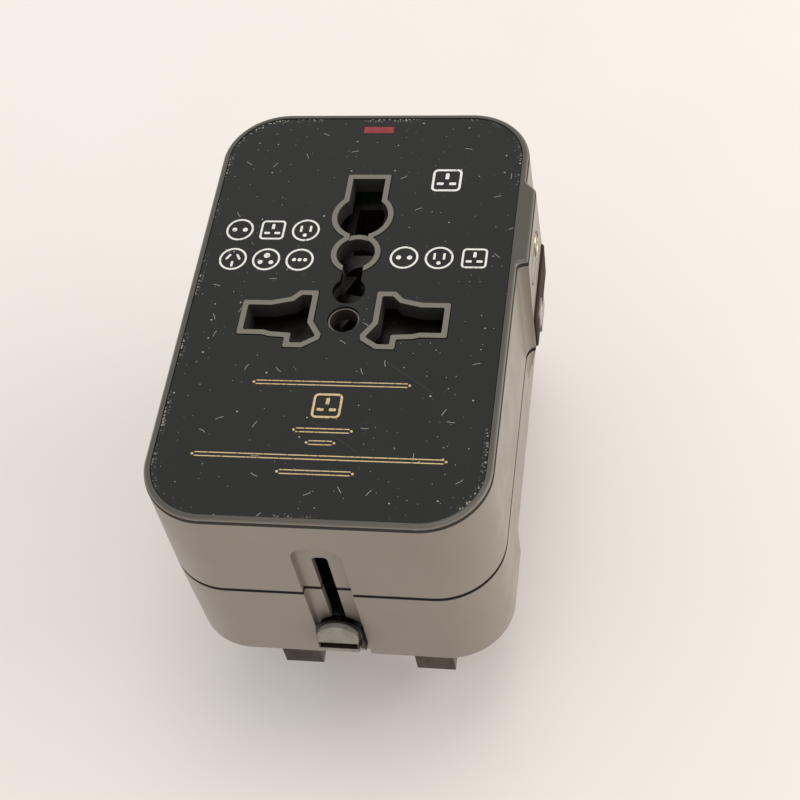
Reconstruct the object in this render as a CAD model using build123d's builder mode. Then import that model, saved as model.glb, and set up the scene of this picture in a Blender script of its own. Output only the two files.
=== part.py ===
"""Universal travel adapter with a multi-standard socket face and three slide-out plugs.

The origin is the centre of the back face, which meets the wall socket. +Z points out of the
socket face, +Y is the end with the indicator lamp, and all lengths are millimetres. The British
plug is slid out, as in use. The European and the American plug are slid in.
"""
import os

from build123d import *

os.makedirs("parts", exist_ok=True)

# Case
DEPTH = 38.2
SPLIT_Z = 18.8
SPLIT_GAP = 0.45
FRONT_W, FRONT_L, FRONT_R = 49.9, 78.5, 9.9
SPLIT_FLARE_W, SPLIT_FLARE_L = 0.64, 0.04
BACK_FLARE_W, BACK_DRAFT_L = 0.4, 0.1
CORNER_DRAFT = 0.08
WALL = 2.0
BACK_WALL = 2.2
FACE_WALL = 1.85
FRONT_EDGE_R = 0.7
BACK_EDGE_R = 0.4
TONGUE_T = 0.8
TONGUE_H = 1.2
TONGUE_GAP = 0.15

# Socket face
BEZEL = 1.0
PANEL_T = 1.0
PANEL_SUNK = 0.15
PANEL_GAP = 0.12
RIM_T = 0.85
EARTH_RISE = 22.2
EARTH_RECT_W, EARTH_TOP_RISE = 6.9, 29.1
UPPER_ROUND_R, UPPER_ROUND_RISE = 4.87, 20.4
LOWER_ROUND_R, LOWER_ROUND_RISE = 3.85, 12.8
BRIDGE_W, BRIDGE_SUNK = 5.2, 0.25
NECK_W, NECK_RISE = 4.65, 16.25
KEY_NECK_W, KEY_R, KEY_RISE = 3.2, 2.5, 5.45
CENTRE_R = 2.45
CENTRE_COLLAR_T = 0.3
LENS_W, LENS_H, LENS_INSET = 4.9, 1.4, 3.55
LENS_TO_SOCKET = 39.2
LENS_FLANGE, LENS_FLANGE_T = 0.8, 1.0

# Pins and blades of the three plugs
UK_PIN_W, UK_PIN_T, UK_PIN_LEN = 6.35, 4.0, 18.1
UK_EARTH_W, UK_EARTH_H, UK_EARTH_LEN = 4.0, 8.0, 22.7
UK_SPACING, UK_LINE_INSET = 22.2, 8.65
UK_SLEEVE_LEN, UK_SLEEVE_T = 9.5, 0.4
EU_PIN_R, EU_PIN_LEN, EU_SPACING, EU_TO_FUSE = 2.0, 19.0, 19.0, 8.5
EU_SLEEVE_LEN, EU_SLEEVE_T = 10.0, 0.35
US_BLADE_W, US_BLADE_T, US_BLADE_LEN = 6.35, 1.5, 17.0
US_SPACING, US_LINE_INSET, US_TWIST = 13.2, 12.25, 30.0

# Carriages and what guides them
PLATE_T = 3.5
HEAD_T = 1.1
REST_GAP = 0.1
PIN_HOLE_GAP = 0.25
GUIDE_GAP = 0.2
RIB_T = 0.8
UK_PLATE_EDGE, UK_PLATE_BELOW, UK_PLATE_ABOVE = 0.725, 3.6, 17.2
UK_TONGUE_W, UK_TONGUE_ABOVE = 6.6, 4.4
UK_RIB_BELOW, UK_RIB_LEN = 3.6, 12.0
EU_PLATE_EDGE, EU_PLATE_H = 1.0, 8.6
US_PLATE_EDGE, US_PLATE_H, US_PLATE_DROP = 3.75, 7.0, 0.7
US_ARM_DROP, US_ARM_L, US_ARM_T, US_ARM_GAP = 6.5, 5.0, 4.4, 1.5
US_PIVOT_R, US_PIVOT_GAP, US_HEAD_R = 2.15, 0.05, 3.25

# Slider of the British plug, in the lower end face
CHANNEL_R = 2.8
UK_CHANNEL_W, UK_CHANNEL_TOP, UK_CHANNEL_DEPTH = 7.4, 31.7, 1.0
UK_SLOT_W, UK_SLOT_TOP, UK_SLOT_R = 2.3, 27.7, 0.7
UK_WINDOW_W, UK_WINDOW_TOP = 6.6, 10.2
UK_STEM_W, UK_STEM_LOW, UK_STEM_TOP, UK_STEM_OUT = 1.8, 2.9, 4.7, 1.35
UK_KNOB_W, UK_KNOB_LOW, UK_KNOB_TOP, UK_KNOB_DROP = 6.8, 2.7, 8.8, 1.4
UK_KNOB_FOOT, UK_KNOB_FLOOR_GAP, UK_KNOB_OVER_GAP = 1.6, 0.1, 0.15
UK_COLLAR_TOP, UK_COLLAR_DROP = 11.4, 1.9
UK_PAD_W, UK_PAD_LOW, UK_PAD_TOP, UK_PAD_DROP = 6.2, 5.8, 11.0, 1.8
UK_PAD_OUT, UK_PAD_LEAN, UK_PAD_T = 3.55, 1.25, 0.75
UK_PAD_SLOT_LOW, UK_PAD_SLOT_TOP, UK_PAD_WEB = 6.5, 7.5, 0.25
UK_DISH_W, UK_DISH_TOP, UK_SCOOP_R = 6.0, 10.2, 2.6
UK_TIP = 0.7
UK_RIB_TOP = 25.4

# Hump and slider of the American plug, on the right side
HUMP_OUT = 1.65
HUMP_FRONT_BELOW, HUMP_FRONT_ABOVE, HUMP_FRONT_RUN = 7.45, 6.65, 0.9
HUMP_MID_BELOW, HUMP_MID_ABOVE, HUMP_MID_RUN = 9.0, 8.15, 2.7
HUMP_TOP_RUN, HUMP_FADE_Z, HUMP_FADE_IN, HUMP_BITE = 3.0, 9.0, 2.1, 0.6
OVAL_L, OVAL_H, OVAL_T, OVAL_DEPTH = 10.0, 4.4, 0.45, 0.3
OVAL_Z, OVAL_BELOW = 31.6, 1.1
US_KNOB_BELOW, US_KNOB_L, US_KNOB_H, US_KNOB_LOW = 11.55, 15.9, 7.4, 17.6
US_KNOB_OUT = 2.05
SIDE_RECESS = 0.85
SIDE_RECESS_BELOW, SIDE_RECESS_ABOVE = 35.45, 9.05
PAD_L, PAD_H, PAD_DEEP, PAD_PROUD, US_PAD_SHIFT = 3.6, 3.4, 0.4, 0.3, -3.7
US_KNOB_LEAN, EU_KNOB_LEAN = 0.1, 0.1

# Slider of the European plug, in the left side
EU_CHANNEL_L, EU_CHANNEL_TOP = 15.4, 27.4
EU_KNOB_L, EU_KNOB_H, EU_KNOB_LOW, EU_KNOB_OUT = 14.6, 7.2, 19.4, 1.35
EU_STEM_L = 5.0
KNOB_GAP, STEM_GRIP = 0.25, 0.9

# Contacts
STRIP_T = 0.7
BUS_GAP, BUS_LOW_Z, BUS_TOP_Z = 1.15, 25.6, 28.8
LINK_TOP_Z, FUSED_LOW_Z = 26.9, 27.2
CLIP_LOW_Z, CLIP_INNER_X, CLIP_GAP = 19.5, 4.9, 4.6
LEG_W = 3.0
EARTH_LEAF_GAP, EARTH_LEAF_T, EARTH_PLATE_W = 4.7, 0.6, 7.8
EARTH_LOW_Z = 17.0
EARTH_PLATE_Z = 29.3
EARTH_PLATE_RISE = 1.9
EARTH_LEG_X, EARTH_LEG_ABOVE, LEG_EARTH_W = 2.5, 4.8, 1.3
LEG_LOW_Z = 5.6
FUSED_BEYOND, FUSED_ABOVE = 0.9, 5.3

# Fuse and its drawer
FUSE_R, FUSE_LEN, FUSE_BELOW, FUSE_Z = 3.175, 25.4, 9.0, 5.6
FUSE_CAP_LEN, FUSE_BODY_R = 6.0, 2.925
DRAWER_EDGE, DRAWER_H = 0.7, 7.0
DRAWER_GAP = 0.2
FUSE_GRIP_T, FUSE_GRIP_GAP = 0.6, 0.08

# Contact housing, shutter and its springs
HOUSING_LOW_Z, HOUSING_T, HOUSING_W = 30.0, 1.4, 40.0
HOUSING_BELOW, HOUSING_ABOVE = 6.5, 28.3
WELL_GAP, WELL_RIM_T, WELL_RIM_H, WELL_RIM_BELOW = 0.15, 1.4, 1.6, 2.5
SHUTTER_T, SHUTTER_GAP, SHUTTER_W = 1.4, 0.2, 31.2
SHUTTER_BELOW, SHUTTER_ABOVE, SHUTTER_LOBE_RISE = 3.4, 6.5, 12.4
SHUTTER_STRIP_H, SHUTTER_STRIP_W, SHUTTER_CUT_W = 0.8, 8.6, 8.2
LOBE_FOOT, LOBE_OUT_X, LOBE_IN_X, LOBE_FOOT_X, LOBE_BAY_X, LOBE_BULGE_X = 2.5, 5.4, 0.4, 1.4, 1.95, 1.3
LOBE_UPPER_RISE, LOBE_BAY_RISE, LOBE_MID_RISE, LOBE_LOWER_RISE = 10.6, 8.4, 4.5, 2.4
SPRING_X, SPRING_R, SPRING_WIRE_R, SPRING_TURNS = 10.5, 0.72, 0.15, 10
SPRING_ROOM = 10.6
SPRING_Z = 32.5

# Circuit board
BOARD_W, BOARD_H, BOARD_INSET, BOARD_Z, BOARD_T = 31.0, 10.6, 2.45, 29.0, 1.6
BOARD_POST_IN_X, BOARD_POST_IN_Y, BOARD_POST_R = 2.2, 2.8, 1.7
ABSORBER_TO_POST, ABSORBER_DROP, ABSORBER_R, ABSORBER_T, LEAD_X = 5.9, 0.5, 4.4, 3.6, 2.4
RESISTOR_TO_POST, RESISTOR_R, RESISTOR_L = 5.8, 1.1, 6.0
DIODE_TO_POST, DIODE_R, DIODE_L, DIODE_DROP = 5.8, 0.8, 4.0, 3.2
BOARD_BOSS_GAP = 0.4

# Screws
SCREW_INSET = 5.65
BOSS_R, SCREW_R, SCREW_HEAD_R, SCREW_HEAD_T = 3.3, 1.2, 2.3, 1.8
SCREW_SEAT_Z, SCREW_TIP_Z = 12.0, 26.0

# Outline of a line hole, from the centre line of the case and the line through the two holes
HOLE_END_X, HOLE_SHOULDER_X, HOLE_LOBE_OUT_X, HOLE_LOBE_X, HOLE_INNER_X = 15.85, 11.5, 8.6, 7.35, 4.5
HOLE_TOE_X, HOLE_TOE_LOW_X, HOLE_SOLE_X, HOLE_HEEL_X = 2.95, 3.1, 5.5, 8.4
HOLE_ARCH_X, HOLE_STEP_X = 10.85, 11.9
HOLE_TOP_Y, HOLE_NECK_Y, HOLE_LOBE_Y, HOLE_WAIST_Y = 3.23, 3.95, 5.25, 0.6
HOLE_TOE_Y, HOLE_SOLE_Y, HOLE_HEEL_Y, HOLE_ARCH_Y = 3.0, 5.53, 3.7, 3.55

# Planes and places that follow from these
SPLIT_TOP = SPLIT_Z + SPLIT_GAP / 2
SPLIT_BOTTOM = SPLIT_Z - SPLIT_GAP / 2
MID_W, MID_L, MID_R = FRONT_W + SPLIT_FLARE_W, FRONT_L + SPLIT_FLARE_L, FRONT_R - CORNER_DRAFT
BACK_W, BACK_L, BACK_R = FRONT_W + BACK_FLARE_W, FRONT_L - BACK_DRAFT_L, FRONT_R - CORNER_DRAFT
CAVITY_W = FRONT_W - 2 * WALL
CAVITY_L = FRONT_L - 2 * WALL
CAVITY_R = FRONT_R - WALL
PANEL_FRONT = DEPTH - PANEL_SUNK
PANEL_BACK = PANEL_FRONT - PANEL_T
FACE_IN = PANEL_BACK - FACE_WALL
LENS_Y = FRONT_L / 2 - LENS_INSET
SOCKET_LINE_Y = LENS_Y - LENS_TO_SOCKET
EARTH_PIN_Y = SOCKET_LINE_Y + EARTH_RISE
EARTH_TOP_Y = SOCKET_LINE_Y + EARTH_TOP_RISE
UPPER_ROUND_Y = SOCKET_LINE_Y + UPPER_ROUND_RISE
LOWER_ROUND_Y = SOCKET_LINE_Y + LOWER_ROUND_RISE
NECK_Y = SOCKET_LINE_Y + NECK_RISE
KEY_Y = SOCKET_LINE_Y + KEY_RISE
UK_LINE_Y = UK_LINE_INSET - FRONT_L / 2
UK_EARTH_Y = UK_LINE_Y + EARTH_RISE
US_LINE_Y = FRONT_L / 2 - US_LINE_INSET
FUSE_Y = US_LINE_Y - FUSE_BELOW
EU_LINE_Y = FUSE_Y - EU_TO_FUSE
UK_PLATE_W = UK_SPACING + UK_PIN_W + 2 * UK_PLATE_EDGE
UK_PLATE_LOW_Y = UK_LINE_Y - UK_PLATE_BELOW
UK_PLATE_TOP_Y = UK_LINE_Y + UK_PLATE_ABOVE
UK_TONGUE_TOP_Y = UK_EARTH_Y + UK_TONGUE_ABOVE
EU_PLATE_W = EU_SPACING + 2 * (EU_PIN_R + EU_PLATE_EDGE)
US_PLATE_W = US_SPACING + 2 * (US_PIVOT_R + US_PLATE_EDGE)
US_ARM_TOP_Y = US_LINE_Y - US_ARM_DROP
US_ARM_LOW_Y = US_ARM_TOP_Y - US_ARM_L
US_ARM_X = FUSE_LEN / 2 + US_ARM_GAP
US_KNOB_Y = US_LINE_Y - US_KNOB_BELOW
BUS_X = UK_PLATE_W / 2 + BUS_GAP
EARTH_PLATE_LOW_Y = SOCKET_LINE_Y + EARTH_PLATE_RISE
EARTH_LEG_Y = UK_EARTH_Y + EARTH_LEG_ABOVE
FUSED_X = FUSE_LEN / 2 + FUSED_BEYOND
FUSED_Y = FUSE_Y + FUSED_ABOVE
DRAWER_W = FUSE_LEN + 2 * DRAWER_EDGE
HOUSING_LOW_Y = SOCKET_LINE_Y - HOUSING_BELOW
HOUSING_TOP_Y = SOCKET_LINE_Y + HOUSING_ABOVE
SHUTTER_LOW_Y = SOCKET_LINE_Y - SHUTTER_BELOW
SHUTTER_TOP_Y = SOCKET_LINE_Y + SHUTTER_ABOVE
SPRING_END_Y = SHUTTER_TOP_Y + SPRING_ROOM
BOARD_TOP_Y = FRONT_L / 2 - BOARD_INSET
BOARD_LOW_Y = BOARD_TOP_Y - BOARD_H
BOARD_MID_Y = (BOARD_LOW_Y + BOARD_TOP_Y) / 2
BOARD_POST_X = BOARD_W / 2 - BOARD_POST_IN_X
BOARD_POST_Y = BOARD_TOP_Y - BOARD_POST_IN_Y
ABSORBER_X = BOARD_POST_X - ABSORBER_TO_POST
RESISTOR_X = RESISTOR_TO_POST - BOARD_POST_X
DIODE_X = DIODE_TO_POST - BOARD_POST_X
SCREW_X = FRONT_W / 2 - SCREW_INSET
SCREW_Y = FRONT_L / 2 - SCREW_INSET
UK_TRAVEL = UK_EARTH_LEN
EU_TRAVEL = EU_PIN_LEN
US_TRAVEL = US_BLADE_LEN
UK_PLATE_Z = BACK_WALL + REST_GAP
EU_PLATE_Z = BACK_WALL + REST_GAP + EU_TRAVEL
US_PLATE_Z = BACK_WALL + REST_GAP + US_TRAVEL
END_FLOOR_Y = FRONT_L / 2 - UK_CHANNEL_DEPTH
SIDE_FLOOR_X = BACK_W / 2 - SIDE_RECESS
HUMP_X = FRONT_W / 2 + HUMP_OUT
HOUSING_TOP_Z = HOUSING_LOW_Z + HOUSING_T
SHUTTER_Z = HOUSING_TOP_Z + SHUTTER_GAP
SHUTTER_TOP_Z = SHUTTER_Z + SHUTTER_T
CLIP_Y = SOCKET_LINE_Y
EU_LEG_Y = EU_LINE_Y - EU_PLATE_H / 2 - 0.3 - STRIP_T
US_LEG_Y = US_LINE_Y + US_HEAD_R + US_PIVOT_GAP
END_PLANE = Plane(origin=(0, -END_FLOOR_Y, 0), x_dir=(1, 0, 0), z_dir=(0, -1, 0))
RIGHT_PLANE = Plane(origin=(SIDE_FLOOR_X, 0, 0), x_dir=(0, 1, 0), z_dir=(1, 0, 0))
LEFT_PLANE = Plane(origin=(-SIDE_FLOOR_X, EU_LINE_Y, 0), x_dir=(0, -1, 0), z_dir=(-1, 0, 0))


def save(builder, name):
    """Label a finished piece and write it to its own file."""
    builder.part.label = name
    export_step(builder.part, f"parts/{name}.step")


def slab(x0, x1, y0, y1, z0, z1, mode=Mode.ADD):
    """Add a block between two corners to the part that is being built."""
    with Locations(((x0 + x1) / 2, (y0 + y1) / 2, (z0 + z1) / 2)):
        Box(abs(x1 - x0), abs(y1 - y0), abs(z1 - z0), mode=mode)


# Outlines of the socket face, each about the case's own centre line
def line_holes(inset):
    """The two holes that take a flat, a round, an upright or a slanted pin."""
    with BuildSketch() as right:
        with BuildLine():
            Polyline(
                (HOLE_END_X, HOLE_TOP_Y), (HOLE_SHOULDER_X, HOLE_TOP_Y), (HOLE_LOBE_OUT_X, HOLE_NECK_Y),
                (HOLE_LOBE_X, HOLE_LOBE_Y), (HOLE_INNER_X, HOLE_LOBE_Y), (HOLE_INNER_X, -HOLE_WAIST_Y),
                (HOLE_TOE_X, -HOLE_TOE_Y), (HOLE_TOE_LOW_X, -HOLE_NECK_Y), (HOLE_SOLE_X, -HOLE_SOLE_Y),
                (HOLE_HEEL_X, -HOLE_SOLE_Y), (HOLE_HEEL_X, -HOLE_HEEL_Y), (HOLE_ARCH_X, -HOLE_ARCH_Y),
                (HOLE_STEP_X, -HOLE_TOP_Y), (HOLE_END_X, -HOLE_TOP_Y), close=True,
            )
        make_face()
        if inset:
            offset(amount=-inset, kind=Kind.INTERSECTION, mode=Mode.REPLACE)
        fillet(right.vertices(), 0.3)
    with BuildSketch() as pair:
        add(right.sketch)
        mirror(about=Plane.YZ)
    return pair.sketch.moved(Location((0, SOCKET_LINE_Y, 0)))


def earth_hole(inset):
    """The upper hole: a rectangle over two round holes that run into each other."""
    with BuildSketch() as hole:
        with Locations((0, (EARTH_TOP_Y - inset + UPPER_ROUND_Y) / 2)):
            Rectangle(EARTH_RECT_W - 2 * inset, EARTH_TOP_Y - inset - UPPER_ROUND_Y)
        with Locations((0, UPPER_ROUND_Y)):
            Circle(UPPER_ROUND_R - inset)
        with Locations((0, LOWER_ROUND_Y)):
            Circle(LOWER_ROUND_R - inset)
        with Locations((0, NECK_Y)):
            Rectangle(NECK_W - 2 * inset, 2 * RIM_T)
    return hole.sketch


with BuildSketch() as socket_rims:
    add(line_holes(0))
    add(earth_hole(0))

with BuildSketch() as keyhole:
    with Locations((0, (KEY_Y + LOWER_ROUND_Y) / 2)):
        Rectangle(KEY_NECK_W, LOWER_ROUND_Y - KEY_Y)
    with Locations((0, KEY_Y)):
        Circle(KEY_R)

with BuildSketch() as bridge:
    with Locations((0, LOWER_ROUND_Y)):
        Circle(LOWER_ROUND_R)
        Circle(LOWER_ROUND_R - RIM_T, mode=Mode.SUBTRACT)
    with Locations((0, LOWER_ROUND_Y + LOWER_ROUND_R)):
        Rectangle(BRIDGE_W, 2 * LOWER_ROUND_R, mode=Mode.INTERSECT)

with BuildSketch() as pin_ways:
    add(line_holes(RIM_T))
    add(earth_hole(RIM_T))
    add(keyhole.sketch)
    with Locations((0, SOCKET_LINE_Y)):
        Circle(CENTRE_R - CENTRE_COLLAR_T)

with BuildSketch() as blade_window:
    with Locations(
        *[Location((US_SPACING / 2, US_LINE_Y, 0), (0, 0, -US_TWIST * step / 3)) for step in range(4)]
    ):
        Rectangle(US_BLADE_T + 2 * PIN_HOLE_GAP, US_BLADE_W + 2 * PIN_HOLE_GAP)

with BuildSketch() as blade_windows:
    add(blade_window.sketch)
    mirror(about=Plane.YZ)


def case_half(low_size, low_z, high_size, high_z):
    """Loft one half of the case between its two rounded outlines."""
    with BuildSketch(Plane.XY.offset(low_z)) as low:
        RectangleRounded(*low_size)
    with BuildSketch(Plane.XY.offset(high_z)) as high:
        RectangleRounded(*high_size)
    loft([low.sketch, high.sketch], ruled=True)


def hump_outline(plane, wall_x, out_x, below, above, run):
    """Sketch the side hump about its knob: a flat top, a cove at its lower end, an S at its upper."""
    base_x = CAVITY_W / 2 + HUMP_BITE
    low_y, top_y = US_KNOB_Y - below, US_KNOB_Y + above
    foot, end = low_y - run, top_y + HUMP_TOP_RUN
    with BuildSketch(plane) as outline:
        with BuildLine():
            Line((base_x, foot), (wall_x, foot))
            Bezier((wall_x, foot), (wall_x, low_y - 0.15 * run), (out_x, low_y))
            Line((out_x, low_y), (out_x, top_y))
            Bezier(
                (out_x, top_y), (out_x, top_y + HUMP_TOP_RUN * 0.5),
                (wall_x, top_y + HUMP_TOP_RUN * 0.5), (wall_x, end),
            )
            Line((wall_x, end), (base_x, end))
            Line((base_x, end), (base_x, foot))
        make_face()
    return outline.sketch


def hump_at_split(z):
    """The hump's outline at the parting line, which both halves of the case share."""
    plane = Plane.XY.offset(z)
    return hump_outline(plane, MID_W / 2 - 0.05, HUMP_X, HUMP_MID_BELOW, HUMP_MID_ABOVE, HUMP_MID_RUN)


def knob_recess(top_z):
    """Cut the flat recess in the right side that the American plug's knob slides in."""
    reach = US_KNOB_L / 2 + GUIDE_GAP
    slab(SIDE_FLOOR_X, FRONT_W, US_KNOB_Y - reach, US_KNOB_Y + reach, -1, top_z, Mode.SUBTRACT)


def channel(plane, width, top):
    """Cut a finger channel with a rounded top, open at the back face."""
    with BuildSketch(plane) as outline:
        with Locations((0, top / 2 - 0.5)):
            Rectangle(width, top + 1)
        fillet(outline.vertices().group_by(Axis.Y)[-1], CHANNEL_R)
    extrude(outline.sketch, amount=4, mode=Mode.SUBTRACT)


def slider_slots():
    """Cut the stem slots of the three sliders through the walls of a case half."""
    with BuildSketch(END_PLANE.offset(2)) as slot:
        with Locations((0, (BACK_WALL + UK_SLOT_TOP) / 2)):
            Rectangle(UK_SLOT_W, UK_SLOT_TOP - BACK_WALL)
        fillet(slot.vertices().group_by(Axis.Y)[-1], UK_SLOT_R)
    extrude(slot.sketch, amount=-WALL - 2.5, mode=Mode.SUBTRACT)
    slab(CAVITY_W / 2 - 0.5, FRONT_W, US_ARM_LOW_Y - GUIDE_GAP, US_ARM_TOP_Y + GUIDE_GAP, BACK_WALL,
         US_PLATE_Z + PLATE_T + 0.3, Mode.SUBTRACT)
    slab(-FRONT_W, -CAVITY_W / 2 + 0.5, EU_LINE_Y - EU_STEM_L / 2 - GUIDE_GAP,
         EU_LINE_Y + EU_STEM_L / 2 + GUIDE_GAP, BACK_WALL, EU_PLATE_Z + PLATE_T + 0.3, Mode.SUBTRACT)


def screw_places():
    """Four screws, one in each corner of the case."""
    return GridLocations(2 * SCREW_X, 2 * SCREW_Y, 2, 2)


# Front half of the case: its wall, the side hump, the socket rims and the posts inside
with BuildPart() as front_shell:
    case_half((MID_W, MID_L, MID_R), SPLIT_TOP, (FRONT_W, FRONT_L, FRONT_R), DEPTH)
    loft(
        [
            hump_at_split(SPLIT_TOP),
            hump_outline(
                Plane.XY.offset(DEPTH), FRONT_W / 2 - 0.05, HUMP_X, HUMP_FRONT_BELOW, HUMP_FRONT_ABOVE,
                HUMP_FRONT_RUN,
            ),
        ],
        ruled=True,
    )
    fillet(front_shell.faces().sort_by(Axis.Z)[-1].outer_wire().edges(), FRONT_EDGE_R)
    with BuildSketch(Plane.XY.offset(SPLIT_TOP)):
        RectangleRounded(CAVITY_W, CAVITY_L, CAVITY_R)
    extrude(amount=FACE_IN - SPLIT_TOP, mode=Mode.SUBTRACT)
    with BuildSketch(Plane.XY.offset(PANEL_BACK)):
        RectangleRounded(FRONT_W - 2 * BEZEL, FRONT_L - 2 * BEZEL, FRONT_R - BEZEL)
    extrude(amount=DEPTH, mode=Mode.SUBTRACT)
    with BuildSketch(Plane.XY.offset(FACE_IN)):
        add(socket_rims.sketch)
    extrude(amount=DEPTH - FACE_IN)
    with BuildSketch(Plane.XY.offset(FACE_IN)):
        with Locations((0, SOCKET_LINE_Y)):
            Circle(CENTRE_R - 0.1)
    extrude(amount=PANEL_BACK + 0.6 * PANEL_T - FACE_IN)
    with BuildSketch(Plane.XY.offset(FACE_IN - 1)):
        add(pin_ways.sketch)
    extrude(amount=DEPTH, mode=Mode.SUBTRACT)
    slab(-KEY_NECK_W / 2, KEY_NECK_W / 2, KEY_Y, LOWER_ROUND_Y - LOWER_ROUND_R + 1.2, PANEL_BACK,
         DEPTH + 1, Mode.SUBTRACT)
    with BuildSketch(Plane.XY.offset(FACE_IN)):
        add(bridge.sketch)
    extrude(amount=DEPTH - BRIDGE_SUNK - FACE_IN)
    slab(-LENS_W / 2 - 0.05, LENS_W / 2 + 0.05, LENS_Y - LENS_H / 2 - 0.05, LENS_Y + LENS_H / 2 + 0.05,
         FACE_IN - 1, DEPTH, Mode.SUBTRACT)
    with screw_places():
        with Locations((0, 0, SPLIT_TOP)):
            Cylinder(BOSS_R, FACE_IN - SPLIT_TOP, align=(Align.CENTER, Align.CENTER, Align.MIN))
            Cylinder(
                SCREW_R + 0.05, SCREW_TIP_Z + 1 - SPLIT_TOP,
                align=(Align.CENTER, Align.CENTER, Align.MIN), mode=Mode.SUBTRACT,
            )
    with BuildSketch(Plane.XY.offset(SPLIT_TOP)):
        tongue_way = 2 * (TONGUE_T + TONGUE_GAP)
        RectangleRounded(CAVITY_W + tongue_way, CAVITY_L + tongue_way, CAVITY_R + tongue_way / 2)
        RectangleRounded(
            CAVITY_W - TONGUE_GAP, CAVITY_L - TONGUE_GAP, CAVITY_R - TONGUE_GAP / 2, mode=Mode.SUBTRACT
        )
    extrude(amount=TONGUE_H, mode=Mode.SUBTRACT)
    for x in (-1, 1):
        for y in (HOUSING_LOW_Y + 2, HOUSING_TOP_Y - 2.3):
            slab(x * (HOUSING_W / 2 - 2.6), x * (HOUSING_W / 2 - 0.4), y - 1.1, y + 1.1, HOUSING_TOP_Z,
                 FACE_IN)
        rail_low, rail_top = SHUTTER_LOW_Y - 1.1, SPRING_END_Y + 0.4
        slab(x * (SHUTTER_W / 2 + GUIDE_GAP), x * (SHUTTER_W / 2 + GUIDE_GAP + RIB_T), rail_low, rail_top,
             SHUTTER_Z, FACE_IN)
        slab(x * (SHUTTER_W / 2 - 0.4), x * (SHUTTER_W / 2 + GUIDE_GAP), rail_low, rail_top,
             SHUTTER_TOP_Z + SHUTTER_GAP, FACE_IN)
        slab(x * (SPRING_X - 1.2), x * (SPRING_X + 1.2), SPRING_END_Y, SPRING_END_Y + RIB_T, SHUTTER_Z,
             FACE_IN)
        with Locations((x * BOARD_POST_X, BOARD_POST_Y, BOARD_Z + BOARD_T)):
            Cylinder(
                BOARD_POST_R, FACE_IN - BOARD_Z - BOARD_T,
                align=(Align.CENTER, Align.CENTER, Align.MIN),
            )
    channel(END_PLANE, UK_CHANNEL_W, UK_CHANNEL_TOP)
    channel(LEFT_PLANE, EU_CHANNEL_L, EU_CHANNEL_TOP)
    slider_slots()
    knob_recess(US_KNOB_LOW + US_KNOB_H + GUIDE_GAP)
    oval_at = (HUMP_X, US_KNOB_Y - OVAL_BELOW, OVAL_Z)
    with BuildSketch(Plane(origin=oval_at, x_dir=(0, 1, 0), z_dir=(1, 0, 0))):
        SlotOverall(OVAL_L, OVAL_H)
        SlotOverall(OVAL_L - 2 * OVAL_T, OVAL_H - 2 * OVAL_T, mode=Mode.SUBTRACT)
    extrude(amount=-OVAL_DEPTH, mode=Mode.SUBTRACT)
save(front_shell, "front_shell")


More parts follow.
